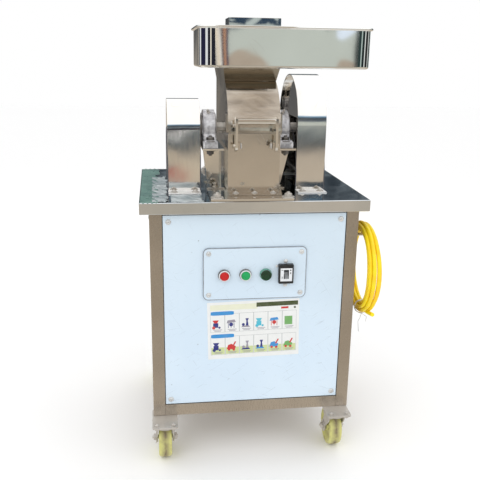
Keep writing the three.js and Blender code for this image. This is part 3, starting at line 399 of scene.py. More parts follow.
# Each turned or plated steel: light and dark tint, roughness and how metallic it is.
TURNED = {
    "zinc_steel": ((0.66, 0.63, 0.59), (0.54, 0.51, 0.47), 0.42, 0.55),
    "screw_steel": ((0.84, 0.85, 0.85), (0.68, 0.69, 0.69), 0.30, 0.5),
    "dark_steel": ((0.34, 0.33, 0.32), (0.17, 0.16, 0.16), 0.42),
}
# Each plastic, paint or rubber: colour, shade, roughness and clear coat.
PLASTICS = {
    # Painted highlight: the bright top of the buttons' bezel rings.
    "bezel_highlight": ((0.86, 0.87, 0.88), (0.74, 0.75, 0.77), 0.22, 0.6),
    "cut_edge": ((0.30, 0.33, 0.37), (0.19, 0.21, 0.24), 0.35, 0.2),
    # Painted shade: the dark line of the covers' edge seams.
    "seam": ((0.10, 0.10, 0.11), (0.06, 0.06, 0.07), 0.5),
    "lens_side": ((0.10, 0.36, 0.25), (0.06, 0.26, 0.18), 0.18, 0.8),
    "motor_paint": ((0.06, 0.14, 0.20), (0.045, 0.11, 0.16), 0.42),
    "belt_rubber": ((0.030, 0.030, 0.030), (0.014, 0.014, 0.014), 0.7),
    "red_plastic": ((0.56, 0.004, 0.006), (0.48, 0.002, 0.004), 0.30, 0.25),
    "green_plastic": ((0.004, 0.37, 0.10), (0.003, 0.31, 0.08), 0.30, 0.25),
    "green_lens": ((0.004, 0.060, 0.022), (0.003, 0.030, 0.012), 0.2, 0.3),
    "black_plastic": ((0.022, 0.022, 0.024), (0.012, 0.012, 0.013), 0.45),
    "grey_plastic": ((0.30, 0.31, 0.32), (0.22, 0.23, 0.24), 0.45),
    "white_plastic": ((0.80, 0.82, 0.84), (0.72, 0.74, 0.76), 0.40),
}


def make_materials():
    return {
        **{name: steel(name, *values) for name, values in STEELS.items()},
        **{name: machined(name, *values) for name, values in TURNED.items()},
        **{name: plastic(name, *values) for name, values in PLASTICS.items()},
        **{name: printed(name, colour) for name, colour in INKS.items()},
        "cover_steel": cover_steel(),
        "hood_steel": hood_steel(),
        "film_teal": peeled_film("film_teal", (0.15, 0.30, 0.25), (0.095, 0.21, 0.18)),
        "film_white": peeled_film("film_white", (0.60, 0.65, 0.66), (0.27, 0.33, 0.35)),
        "filmed_steel": film(),
        "cast_iron": casting(),
        "screen_steel": perforated(),
        "cable_yellow": sheath(),
    }


# ---------- mesh helpers ----------
class Shape:
    """Points and faces gathered for one piece, with a material number on each face."""

    def __init__(self):
        self.points = []
        self.faces = []
        self.kinds = []

    def add(self, points, faces, kind=0, move=None):
        start = len(self.points)
        self.points += [tuple(move @ Vector(p)) if move else tuple(p) for p in points]
        self.faces += [[start + i for i in face] for face in faces]
        self.kinds += [kind] * len(faces)
        return self


def piece(name, shape, body, slot, materials=(), replaces=(), bevel=0.0, angle=35):
    """One Blender object from a shape, smooth apart from its real edges; its slot names its material."""
    mesh = bpy.data.meshes.new(name)
    mesh.from_pydata(shape.points, [], shape.faces)
    mesh.polygons.foreach_set("material_index", shape.kinds)
    mesh.polygons.foreach_set("use_smooth", [True] * len(mesh.polygons))
    mesh.set_sharp_from_angle(angle=math.radians(angle))
    mesh.validate()
    made = bpy.data.objects.new(name, mesh)
    bpy.context.scene.collection.objects.link(made)
    for material in materials or [slot]:
        mesh.materials.append(MATERIALS[material])
    if bevel:
        add_bevel(made, bevel)
    else:
        flat = made.modifiers.new("normals", "WEIGHTED_NORMAL")
        flat.keep_sharp = True
        flat.weight = 100
    if replaces:
        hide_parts(*replaces)
    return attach(made, body)


def add_bevel(made, width):
    edge = made.modifiers.new("edges", "BEVEL")
    edge.width = width
    edge.segments = 2
    edge.limit_method = "ANGLE"
    edge.angle_limit = math.radians(40)
    edge.harden_normals = True


def along(axis, centre):
    """A matrix that takes +Z to the axis and the origin to the centre."""
    turn = Vector((0, 0, 1)).rotation_difference(Vector(axis)).to_matrix().to_4x4()
    return Matrix.Translation(centre) @ turn


def lathe(shape, profile, move, sides=32, kind=0):
    """A closed turned solid: profile is (radius, height) from one end to the other, on +Z."""
    points, rings = [], []
    for radius, height in profile:
        if radius < 1e-6:
            rings.append([len(points)])
            points.append((0, 0, height))
            continue
        rings.append(list(range(len(points), len(points) + sides)))
        points += [(x, y, height) for x, y in polygon(radius, sides)]
    faces = []
    closed = len(rings[0]) > 1 and len(rings[-1]) > 1
    pairs = list(zip(rings, rings[1:])) + ([(rings[-1], rings[0])] if closed else [])
    for low, high in pairs:
        for i in range(sides):
            j = (i + 1) % sides
            if len(low) == 1:
                faces.append([low[0], high[j], high[i]])
            elif len(high) == 1:
                faces.append([low[i], low[j], high[0]])
            else:
                faces.append([low[i], low[j], high[j], high[i]])
    shape.add(points, faces, kind, move)


def block(shape, low, high, move=None):
    (x0, y0, z0), (x1, y1, z1) = low, high
    points = [(x0, y0, z0), (x1, y0, z0), (x1, y1, z0), (x0, y1, z0),
              (x0, y0, z1), (x1, y0, z1), (x1, y1, z1), (x0, y1, z1)]
    faces = [[0, 3, 2, 1], [4, 5, 6, 7], [0, 1, 5, 4], [1, 2, 6, 5], [2, 3, 7, 6], [3, 0, 4, 7]]
    shape.add(points, faces, 0, move)


def prism(shape, outline, depth, move, kind=0):
    """An outline in X and Y, turning left, as thick as from Z 0 to depth."""
    count = len(outline)
    points = [(x, y, 0) for x, y in outline] + [(x, y, depth) for x, y in outline]
    faces = [list(range(count))[::-1], list(range(count, 2 * count))]
    faces += [[i, (i + 1) % count, count + (i + 1) % count, count + i] for i in range(count)]
    shape.add(points, faces, kind, move)


def rounded(x0, x1, y0, y1, radius, steps=10):
    """A rectangle's outline with round corners, turning left."""
    outline = []
    for cx, cy, quarter in ((x1, y0, -1), (x1, y1, 0), (x0, y1, 1), (x0, y0, 2)):
        ox = cx - math.copysign(radius, cx - (x0 + x1) / 2)
        oy = cy - math.copysign(radius, cy - (y0 + y1) / 2)
        for i in range(steps + 1):
            a = (quarter + i / steps) * TAU / 4
            outline.append((ox + radius * math.cos(a), oy + radius * math.sin(a)))
    return outline


def polygon(radius, sides):
    return [(radius * math.cos(TAU * i / sides), radius * math.sin(TAU * i / sides)) for i in range(sides)]


def skin(rings, count, closed=False):
    """Quads from each ring of count points to the next, and back to the first ring when closed."""
    faces = []
    for i in range(rings if closed else rings - 1):
        j = (i + 1) % rings
        faces += [[i * count + k, i * count + (k + 1) % count, j * count + (k + 1) % count, j * count + k]
                  for k in range(count)]
    return faces


def swept(shape, path, radius, sides, closed=False):
    """A round tube along a path of points."""
    count = len(path)
    points, side = [], None
    for i, p in enumerate(path):
        ahead = path[(i + 1) % count] if closed or i < count - 1 else p
        behind = path[i - 1] if closed or i > 0 else p
        tangent = (ahead - behind).normalized()
        side = side or tangent.orthogonal()
        side = (side - tangent * side.dot(tangent)).normalized()
        other = tangent.cross(side)
        points += [p + side * a + other * b for a, b in polygon(radius, sides)]
    faces = skin(count, sides, closed)
    if not closed:
        faces += [list(range(sides))[::-1], [(count - 1) * sides + k for k in range(sides)]]
    return shape.add(points, faces)


def hex_bolt(shape, axis, place, across, height):
    """A hex head or nut with its washer and the rounded end of the thread."""
    move = along(axis, place)
    low = across * 0.12
    lathe(shape, [(across * 0.35, 0), (across * 0.95, 0), (across * 0.95, low), (across * 0.35, low)],
          move, 24)
    radius = across / 2 / math.cos(TAU / 12)
    prism(shape, polygon(radius, 6), height * 0.86, move @ Matrix.Translation((0, 0, low)))
    lathe(shape, [(0, low + height * 0.5), (across * 0.47, low + height * 0.5),
                  (across * 0.47, low + height * 0.9), (across * 0.36, low + height),
                  (across * 0.26, low + height), (across * 0.24, low + height * 1.28),
                  (across * 0.16, low + height * 1.4), (0, low + height * 1.4)], move, 20)


def pan_screw(shape, axis, place, radius):
    """A pan head with a cross recess, on a thin washer."""
    profile = [(0, 0), (1.25, 0), (1.25, 0.12), (1, 0.14), (0.98, 0.35), (0.82, 0.55),
               (0.45, 0.66), (0.3, 0.66), (0.12, 0.35), (0, 0.3)]
    lathe(shape, profile, along(axis, place) @ Matrix.Scale(radius, 4), 24)


# ---------- the cable ----------
def cable_route():
    """From the gland, round the coil's turns, and on to the cut end."""
    # The angle runs from the coil's top, down behind it, and up in front.
    start, finish = math.radians(76), math.radians(187)
    total = finish - start + COIL_TURNS * TAU
    steps = COIL_TURNS * 30
    route = [Vector(p) for p in LEAD]
    for i in range(steps + 1):
        travelled = total * i / steps
        angle = start + travelled
        # Gathered at the peg and at the tie, looser at the sides; the last turn ends in the middle.
        loose = 1 + 0.18 * abs(math.sin(angle)) ** 1.5
        loose *= min(1.0, max(0.0, (total - travelled) / (0.45 * TAU)))
        lay = travelled / COIL_TURNS
        turn, phase = divmod(angle / TAU, 1)
        hang = (SLACK_FRONT if phase > 0.5 else SLACK_REAR).get(turn, 0)
        radius = COIL_R + BUNDLE * loose * math.cos(lay) - hang * math.sin(angle) ** 2
        side = BUNDLE_SIDE * loose * math.sin(lay)
        y, z = COIL_Y + radius * math.sin(angle), COIL_Z + radius * math.cos(angle)
        route.append(Vector((COIL_X + side, y, z)))
    return route[:-1] + [Vector(p) for p in TAIL]


def add_cable_tie():
    """A thin cord wound three times round the turns at the coil's foot, with its knot and two ends."""
    tie = Shape()
    angle = math.radians(188)
    centre = Vector((COIL_X, COIL_Y + COIL_R * math.sin(angle), COIL_Z + COIL_R * math.cos(angle)))
    outward = Vector((0, math.sin(angle), math.cos(angle)))
    forward = Vector((0, math.cos(angle), -math.sin(angle)))
    for lap in range(3):
        shift = forward * (0.0026 * (lap - 1))
        band = []
        for i in range(32):
            a = TAU * i / 32
            round_bundle = outward * math.cos(a) + Vector((1, 0, 0)) * math.sin(a)
            askew = forward * (0.0016 * math.sin(2 * a + lap))
            band.append(centre + shift + 0.0172 * round_bundle + askew)
        swept(tie, band, 0.0011, 8, closed=True)
    knot = centre + outward * 0.0185 + Vector((0.002, 0, 0))
    lathe(tie, [(0, -0.003), (0.0022, -0.002), (0.0028, 0), (0.0022, 0.002), (0, 0.003)],
          along(forward, knot), 16)
    for dx, dy, dz in ((-0.006, -0.004, -0.050), (0.009, -0.010, -0.020)):
        end = knot + Vector((dx, dy, dz))
        bend = knot.lerp(end, 0.45) + Vector((dx, 0, 0))
        swept(tie, [knot, knot.lerp(bend, 0.5) + Vector((0, -0.002, 0)), bend, end], 0.0009, 8)
    return piece("cable_tie", tie, "cabinet", "cable_yellow", ["white_plastic"])


def add_cable():
    """The yellow mains cable, coiled on its peg."""
    route = cable_route()
    curve = bpy.data.curves.new("mains_cable", "CURVE")
    curve.dimensions = "3D"
    curve.bevel_depth = CABLE_R
    curve.bevel_resolution = 4
    curve.use_fill_caps = True
    curve.resolution_u = 3
    spline = curve.splines.new("NURBS")
    spline.points.add(len(route) - 1)
    for point, place in zip(spline.points, route):
        point.co = (*place, 1)
    spline.use_endpoint_u = True
    spline.order_u = 4
    cable = bpy.data.objects.new("mains_cable", curve)
    bpy.context.scene.collection.objects.link(cable)
    curve.materials.append(MATERIALS["cable_yellow"])
    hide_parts("cable_coil", "cable_lead")
    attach(cable, "cabinet")
    tied = add_cable_tie()


# ---------- CAD nodes: real edges, smooth curves and their finishes ----------
# The bevel on each node's edges, where it isn't the usual one, and finishes other than the slot's.
EDGE = {"front_panel": 0.0006, "screen": 0, "rotor_shaft": 0.0008, "drive_belt": 0.001,
        "motor_body": 0.003, "table_top": 0.0017, "bearing_left": 0.0018, "bearing_right": 0.0018}
FINISH = {"hood": "hood_steel", "lower_housing": "casing_steel", "table_top": "deck_steel",
          "latch_bail": "mirror_steel", "screen": "screen_steel", "feed_guard": "guard_steel",
          "left_cover": "cover_steel", "right_guard": "cover_steel"}


def dress_nodes():
    """Each CAD node's material, welded smooth mesh and bevelled edges."""
    # The wheels' own nodes are replaced, so any material does for their slot.
    MATERIALS["wheel_nylon"] = MATERIALS["white_plastic"]
    for name, made in NODES.items():
        material = MATERIALS[FINISH.get(name, SLOT_OF[name])]
        made.data.materials.clear()
        made.data.materials.append(material)
        if "custom_normal" in made.data.attributes:
            made.data.attributes.remove(made.data.attributes["custom_normal"])
        weld = made.modifiers.new("weld", "WELD")
        weld.merge_threshold = 0.00001
        made.data.polygons.foreach_set("use_smooth", [True] * len(made.data.polygons))
        width = EDGE.get(name, 0.0007)
        if width:
            add_bevel(made, width)


# ---------- tray ----------
def add_tray():
    """The shallow tray with round corners and a rolled rim, open over the mill's throat."""
    x0, x1 = TRAY_LO.x + RIM_OUT, TRAY_HI.x - RIM_OUT
    y0, y1 = TRAY_LO.y + RIM_OUT, TRAY_HI.y - RIM_OUT
    bottom, top = TRAY_LO.z, TRAY_HI.z
    # Each step is (height, growth): up outside, over the rolled rim, and down inside.
    section = [(bottom, -0.006), (bottom + 0.0008, -0.003), (bottom + 0.0026, -0.0008),
               (bottom + 0.006, 0), (top - 0.0065, 0), (top - 0.0056, 0.0008)]
    bead = 0.0028
    for i in range(9):
        a = -TAU / 4 + TAU / 2 * i / 8
        section.append((top - bead + bead * math.sin(a), RIM_OUT - bead + bead * math.cos(a)))
    section += [(top - 0.0002, 0.0012), (top - 0.0012, -0.0012), (top - 0.0035, -SHEET),
                (bottom + 0.008, -SHEET), (bottom + 0.0045, -SHEET - 0.0008),
                (bottom + 0.0026, -SHEET - 0.003), (bottom + SHEET, -SHEET - 0.0065)]
    rings = []
    for z, grow in section:
        plan = rounded(x0 - grow, x1 + grow, y0 - grow, y1 + grow, TRAY_CORNER + grow, 14)
        rings.append([(x, y, z) for x, y in plan])
    count = len(rings[0])
    shape = Shape()
    points = [p for ring in rings for p in ring]
    faces = skin(len(rings), count)
    # The floor's two faces go round the throat's opening.
    guard_low, guard_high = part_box("feed_guard")
    hole_x0, hole_x1 = guard_low.x + 0.006, guard_high.x - 0.015
    hole_y0, hole_y1 = guard_low.y + 0.016, guard_high.y - 0.005
    hole = [(hole_x0, hole_y0), (hole_x1, hole_y0), (hole_x1, hole_y1), (hole_x0, hole_y1)]
    for ring, z, up in ((0, bottom, False), (len(rings) - 1, bottom + SHEET, True)):
        start = len(points)
        points += [(x, y, z) for x, y in hole]
        outer = [Vector(p) for p in rings[ring]]
        inner = [Vector((x, y, z)) for x, y in hole]
        index = [ring * count + i for i in range(count)] + [start + i for i in range(4)]
        for triangle in tessellate_polygon([outer, inner]):
            face = [index[i] for i in triangle]
            a, b, c = (Vector(points[i]) for i in face)
            faces.append(face if ((b - a).cross(c - a).z > 0) == up else face[::-1])
    lower, upper = len(points) - 8, len(points) - 4
    faces += [[lower + i, upper + i, upper + (i + 1) % 4, lower + (i + 1) % 4] for i in range(4)]
    shape.add(points, faces)
    made = piece("tray_shell", shape, "hood", "mirror_steel", ["tray_steel"], ["hopper_tray"], angle=30)
    made.visible_glossy = False


# ---------- casters ----------
def add_wheel(corner):
    """A nylon wheel with a round tread, a thin web and a hub."""
    low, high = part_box("caster_wheel_" + corner)
    centre = (low + high) / 2
    r, w = (high.z - low.z) / 2, (high.x - low.x) / 2
    shape = Shape()
    half = [(0.0062, w * 0.96), (0.0125, w * 0.96), (0.0135, w * 0.88), (0.0145, w * 0.62),
            (r * 0.60, w * 0.56), (r * 0.68, w * 0.72), (r * 0.80, w * 0.98), (r * 0.90, w),
            (r * 0.945, w * 0.94), (r * 0.975, w * 0.78), (r * 0.99, w * 0.52), (r, w * 0.22),
            (r, w * 0.075), (r * 0.983, w * 0.045)]
    profile = [(radius, -x) for radius, x in half] + [(radius, x) for radius, x in reversed(half)]
    lathe(shape, profile, along((1, 0, 0), centre), 64)
    MATERIALS["nylon_" + corner] = nylon("nylon_" + corner, centre.x)
    piece("wheel_" + corner, shape, "wheel_" + corner, "wheel_nylon", ["nylon_" + corner],
          ["caster_wheel_" + corner], angle=50)


def add_caster_plate(corner):
    """The bolted top plate and the dished race under it."""
    low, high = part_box("caster_plate_" + corner)
    x, y = (low.x + high.x) / 2, (low.y + high.y) / 2
    thick = 0.004
    under = high.z - thick
    shape = Shape()
    prism(shape, rounded(low.x, high.x, low.y, high.y, 0.008), thick, Matrix.Translation((0, 0, under)))
    lathe(shape, [(0, -0.0035), (0.021, -0.0035), (0.026, -0.0068), (0.0285, -0.0060),
                  (0.0305, -0.0035), (0.0325, 0.0004), (0, 0.0004)],
          along((0, 0, 1), (x, y, under)), 48)
    for dx in (-0.0205, 0.0205):
        for dy in (-0.037, 0.037):
            if abs(y + dy) > CLEAR_OF_LEGS:
                hex_bolt(shape, (0, 0, 1), (x + dx, y + dy, high.z), 0.010, 0.005)
            hex_bolt(shape, (0, 0, -1), (x + dx, y + dy, under), 0.010, 0.005)
    piece("caster_top_" + corner, shape, "cabinet", "zinc_steel",
          replaces=["caster_plate_" + corner], bevel=0.0005)


def add_caster_fork(corner):
    """The fork's dished crown, its two bent cheeks and the axle bolt with its nuts."""
    x, y = middle("caster_plate_" + corner).xy
    wheel_low, wheel_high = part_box("caster_wheel_" + corner)
    axle = (wheel_low + wheel_high) / 2
    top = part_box("caster_fork_" + corner)[1].z
    trail = 1 if axle.y > y else -1
    half = (wheel_high.x - wheel_low.x) / 2
    shape = Shape()
    lathe(shape, [(0, -0.0035), (0.0185, -0.0035), (0.0235, -0.0045), (0.0275, -0.0075),
                  (0.0290, -0.0068), (0.0288, -0.0030), (0.0255, -0.0005), (0, -0.0005)],
          along((0, 0, 1), (x, y, top)), 48)
    eye = 0.0135
    outline = [(-0.021, top - 0.003), (-0.0225, top - 0.012), (-0.020, top - 0.020)]
    reach = abs(axle.y - y)
    for i in range(15):
        a = math.radians(160 + 220 * i / 14)
        outline.append((reach + eye * math.cos(a), axle.z + eye * math.sin(a)))
    outline += [(0.0245, top - 0.022), (0.0235, top - 0.012), (0.021, top - 0.003)]
    outline = outline[::trail]
    turn = Matrix(((0, trail, 0), (0, 0, 1), (1, 0, 0))).transposed().to_4x4()
    thick = 0.003
    for side in (-1, 1):
        inner = axle.x + side * (half + 0.0022)
        start = min(inner, inner + side * thick)
        prism(shape, outline, thick, Matrix.Translation((start, y, 0)) @ turn)
        hex_bolt(shape, (side, 0, 0), axle + Vector((side * (half + 0.0052), 0, 0)), 0.0165, 0.0065)
    lathe(shape, [(0, -half - 0.010), (0.0044, -half - 0.010), (0.005, -half - 0.009),
                  (0.005, half + 0.013), (0.0044, half + 0.014), (0, half + 0.014)],
          along((1, 0, 0), axle), 24)
    piece("fork_steel_" + corner, shape, "fork_" + corner, "zinc_steel",
          replaces=["caster_fork_" + corner], bevel=0.0006)


# ---------- pillow blocks ----------
def add_bearing(side):
    """A pillow block: its cast housing, the steel insert with a grease nipple, and its base bolts."""
    low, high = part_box("bearing_" + side)
    x = (low.x + high.x) / 2
    base = low.z
    ring, foot = 0.0445, 0.0185
    half_length = (high.y - low.y) / 2
    flank = [(half_length, base), (half_length, base + foot - 0.003), (half_length - 0.003, base + foot),
             (ring + 0.012, base + foot), (ring + 0.004, base + foot + 0.004)]
    arch = [math.radians(-16 + 212 * i / 32) for i in range(33)]
    outline = flank + [(ring * math.cos(a), AXIS_Z + ring * math.sin(a)) for a in arch]
    outline += [(-y, z) for y, z in reversed(flank)]
    shape = Shape()
    move = Matrix(((0, 0, 1, 0), (1, 0, 0, AXIS_Y), (0, 1, 0, 0), (0, 0, 0, 1)))
    prism(shape, outline, 0.030, Matrix.Translation((x - 0.015, 0, 0)) @ move)
    for end in (-1, 1):
        y0, y1 = sorted((AXIS_Y + end * 0.053, AXIS_Y + end * half_length))
        block(shape, (x - 0.018, y0, base), (x + 0.018, y1, base + foot - 0.003))
    centre = Vector((x, AXIS_Y, AXIS_Z))
    for end in (-1, 1):
        lathe(shape, [(0.0345, 0.0135), (0.0375, 0.0172), (0.036, 0.0185), (0.032, 0.0178),
                      (0.0315, 0.0135)], along((end, 0, 0), centre), 56)
    piece("housing_" + side, shape, "cabinet", "cast_iron", replaces=["bearing_" + side], bevel=0.0012)

    shape = Shape()
    for end in (-1, 1):
        lathe(shape, [(0.0130, 0.006), (0.0300, 0.006), (0.0300, 0.0150), (0.0285, 0.0168),
                      (0.0190, 0.0168), (0.0190, 0.0205), (0.0180, 0.0212), (0.0130, 0.0212)],
              along((end, 0, 0), centre), 48)
    lean = -0.35 if side == "left" else 0.35
    lathe(shape, [(0, 0), (0.0045, 0), (0.0045, 0.004), (0.0025, 0.005), (0.0025, 0.008),
                  (0.0034, 0.0095), (0.002, 0.0115), (0, 0.0115)],
          along((lean, -0.5, 0.8), centre + Vector((0, -0.0215, 0.0375))), 12)
    piece("insert_" + side, shape, "cabinet", "zinc_steel", bevel=0.0003)

    shape = Shape()
    for end in (-1, 1):
        y = AXIS_Y + end * (half_length - 0.0135)
        hex_bolt(shape, (0, 0, 1), (x, y, base + foot - 0.003), 0.017, 0.009)
        hex_bolt(shape, (0, 0, -1), (x, y, base - 0.0053), 0.017, 0.009)
    piece("base_bolts_" + side, shape, "cabinet", "dark_steel", bevel=0.0004)


# ---------- controls ----------
def facing_out(node):
    """A matrix from +Z to straight out of the control plate, over the middle of a node."""
    centre = middle(node)
    return along((0, -1, 0), (centre.x, PLATE_LO.y, centre.z))


def add_buttons():
    """Both push buttons and the lamp. Each button's bezel ring has a dark skirt of painted shade under a bright
    top of painted highlight; the lamp's skirt is tinted.
    """
    for name, colour in (("stop", "red_plastic"), ("start", "green_plastic")):
        move = facing_out(name + "_button_cap")
        shape = Shape()
        lathe(shape, [(0.0112, 0.0003), (0.0150, 0.0003), (0.0150, 0.0020), (0.0140, 0.0026),
                      (0.0136, 0.0080), (0.0112, 0.0080)], move, 56, 1)
        lathe(shape, [(0.0110, -0.010), (0.0118, -0.010), (0.0118, 0.0081), (0.0136, 0.0081),
                      (0.0135, 0.0092), (0.0128, 0.0098), (0.0118, 0.0099), (0.0112, 0.0094),
                      (0.0110, 0.0080)], move, 56)
        # The bezel's bright top is a painted highlight and its dark steel skirt painted shade, on one ring.
        piece(name + "_bezel_ring", shape, "cabinet", "zinc_steel", ["bezel_highlight", "dark_steel"],
              [name + "_button_bezel"], angle=28)
        shape = Shape()
        lathe(shape, [(0, -0.009), (0.0106, -0.009), (0.0106, 0.0104), (0.0103, 0.0114),
                      (0.0094, 0.0120), (0.0050, 0.0117), (0, 0.0116)], move, 48)
        piece(name + "_cap_face", shape, name + "_button", colour,
              replaces=[name + "_button_cap"], angle=40)
    move = facing_out("pilot_lamp")
    shape = Shape()
    lathe(shape, [(0, -0.020), (0.0104, -0.020), (0.0104, 0.0003), (0.0150, 0.0003),
                  (0.0150, 0.0022), (0.0142, 0.0032), (0.0136, 0.0082), (0, 0.0082)], move, 56, 1)
    lathe(shape, [(0, 0.0083), (0.0136, 0.0083), (0.0134, 0.0104), (0.0124, 0.0114),
                  (0.0104, 0.0117), (0.0092, 0.0114), (0.0088, 0.0108), (0, 0.0108)], move, 56)
    piece("lamp_lens", shape, "cabinet", "green_lens", ["green_lens", "lens_side"], ["pilot_lamp"],
          angle=28)
    shape = Shape()
    for i in range(3):
        inner = 0.0018 + 0.0024 * i
        lathe(shape, [(inner, 0.0107), (inner + 0.0010, 0.0107), (inner + 0.0010, 0.0113),
                      (inner, 0.0113)], move, 40)
    piece("lamp_rings", shape, "cabinet", "green_lens", angle=28)


def add_plate_edge():
    """The control plate's bare cut edge, rounded over and proud of the film."""
    outline = rounded(PLATE_LO.x, PLATE_HI.x, PLATE_LO.z, PLATE_HI.z, 0.012, 12)
    path = [Vector((x, PLATE_LO.y + 0.0010, z)) for x, z in outline]
    bead = swept(Shape(), path, 0.0013, 10, closed=True)
    piece("plate_edge", bead, "cabinet", "zinc_steel", ["cut_edge"])


def add_breaker_trim():
    """A white face plate round the lever's slot, small square marks and three fixing screws."""
    low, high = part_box("breaker_body")
    x, front, z = (low.x + high.x) / 2, low.y, (low.z + high.z) / 2
    shape = Shape()
    for x0, x1, z0, z1 in ((-0.0145, -0.0063, -0.0175, 0.0155), (0.0063, 0.0145, -0.0175, 0.0155),
                           (-0.0063, 0.0063, 0.0113, 0.0155), (-0.0063, 0.0063, -0.0175, -0.0113)):
        block(shape, (x + x0, front - 0.0007, z + z0), (x + x1, front - 0.00005, z + z1))
    piece("breaker_face", shape, "cabinet", "grey_plastic", ["white_plastic"])
    shape = Shape()
    for dx, dz, width, height in ((0.0104, 0.0105, 0.003, 0.003), (0.0104, 0.0030, 0.002, 0.004),
                                  (-0.0104, 0.0110, 0.004, 0.0012), (-0.0104, -0.0080, 0.0012, 0.005)):
        block(shape, (x + dx - width / 2, front - 0.0010, z + dz - height / 2),
              (x + dx + width / 2, front - 0.0007, z + dz + height / 2))
    piece("breaker_marks", shape, "cabinet", "black_plastic")
    shape = Shape()
    for sx, sz, radius in ((x, high.z + 0.0065, 0.0042), (x, low.z - 0.0065, 0.0042),
                           (low.x - 0.0035, high.z - 0.006, 0.0028)):
        pan_screw(shape, (0, -1, 0), (sx, PLATE_LO.y - 0.0003, sz), radius)
    piece("breaker_screws", shape, "cabinet", "zinc_steel", ["screw_steel"])


def add_screws():
    """Pan heads on the panels and the control plate."""
    shape = Shape()
    for low, high, under, over, radius in ((PANEL_LO, PANEL_HI, 0.013, 0.0155, 0.0055),
                                           (PLATE_LO, PLATE_HI, 0.0125, 0.0125, 0.0050)):
        for x in (low.x + under, high.x - under):
            for z in (low.z + under, high.z - over):
                pan_screw(shape, (0, -1, 0), (x, low.y, z), radius)
    for name, axis in (("rear_panel", (0, 1, 0)), ("left_panel", (-1, 0, 0)), ("right_panel", (1, 0, 0))):
        low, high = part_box(name)
        for u in (0, 1):
            for z in (low.z + 0.014, high.z - 0.014):
                if axis[1]:
                    place = (low.x + 0.014 if u else high.x - 0.014, high.y, z)
                else:
                    place = (high.x if axis[0] > 0 else low.x, low.y + 0.014 if u else high.y - 0.014, z)
                pan_screw(shape, axis, place, 0.0055)
    piece("panel_screws", shape, "cabinet", "zinc_steel", ["screw_steel"])


# ---------- picture label ----------
class Label:
    """Flat prints on the front panel, each a closed slip a little prouder than the one below."""

    def __init__(self):
        self.width, self.height = 0.231, 0.152
        self.shape = Shape()
        self.inks = list(INKS)
        middle = Vector(((PLATE_LO.x + PLATE_HI.x) / 2, PANEL_LO.y,
                         PLATE_LO.z - 0.007 - self.height / 2))
        # Its own X runs to the right and its own Y up; it was stuck on slightly askew.
        turn = Matrix(((1, 0, 0), (0, 0, -1), (0, 1, 0))).to_4x4()
        self.move = Matrix.Translation(middle) @ turn @ Matrix.Rotation(math.radians(1.2), 4, "Z")

    def slip(self, outline, ink, layer):
        """An outline in label widths and heights from the lower left corner."""
        points = [((u - 0.5) * self.width, (v - 0.5) * self.height) for u, v in outline]
        thick = 0.00012 + 0.00006 * layer
        prism(self.shape, points, thick, self.move, self.inks.index(ink))

    def patch(self, u0, u1, v0, v1, ink, layer=2):
        self.slip([(u0, v0), (u1, v0), (u1, v1), (u0, v1)], ink, layer)

    def disc(self, u, v, size, ink, layer=3):
        wide, tall = size, size * self.width / self.height
        self.slip([(u + wide * x, v + tall * y) for x, y in polygon(1, 20)], ink, layer)


def machine_picture(label, u, v, kind, first, second):
    """A plain little machine inside a tile whose lower left corner is (u, v)."""
    if kind == 0:
        label.patch(u + 0.030, u + 0.085, v + 0.085, v + 0.165, first)
        label.slip([(u + 0.042, v + 0.165), (u + 0.073, v + 0.165), (u + 0.092, v + 0.215),
                    (u + 0.023, v + 0.215)], second, 2)
        label.disc(u + 0.036, v + 0.085, 0.018, second)
        label.disc(u + 0.098, v + 0.085, 0.012, first)
    elif kind == 1:
        label.slip([(u + 0.018, v + 0.155), (u + 0.118, v + 0.170), (u + 0.105, v + 0.215),
                    (u + 0.030, v + 0.205)], first, 2)
        for foot in (0.034, 0.064, 0.096):
            label.patch(u + foot, u + foot + 0.006, v + 0.070, v + 0.160, second)
        label.disc(u + 0.068, v + 0.130, 0.022, second)
    elif kind == 2:
        label.slip([(u + 0.020, v + 0.070), (u + 0.118, v + 0.070), (u + 0.104, v + 0.098),
                    (u + 0.034, v + 0.098)], second, 2)
        label.slip([(u + 0.070, v + 0.098), (u + 0.100, v + 0.098), (u + 0.092, v + 0.180),
                    (u + 0.104, v + 0.225), (u + 0.066, v + 0.225), (u + 0.078, v + 0.180)], first, 3)
        label.disc(u + 0.044, v + 0.118, 0.016, first)
    elif kind == 3:
        label.patch(u + 0.026, u + 0.112, v + 0.075, v + 0.225, first)
        label.patch(u + 0.034, u + 0.104, v + 0.095, v + 0.140, second, 3)
    else:
        label.slip([(u + 0.016, v + 0.095), (u + 0.104, v + 0.085), (u + 0.118, v + 0.135),
                    (u + 0.070, v + 0.185), (u + 0.034, v + 0.170)], first, 2)
        label.slip([(u + 0.078, v + 0.150), (u + 0.094, v + 0.140), (u + 0.122, v + 0.222),
                    (u + 0.108, v + 0.228)], second, 3)
        label.disc(u + 0.042, v + 0.085, 0.014, second)
        label.disc(u + 0.094, v + 0.080, 0.014, second)


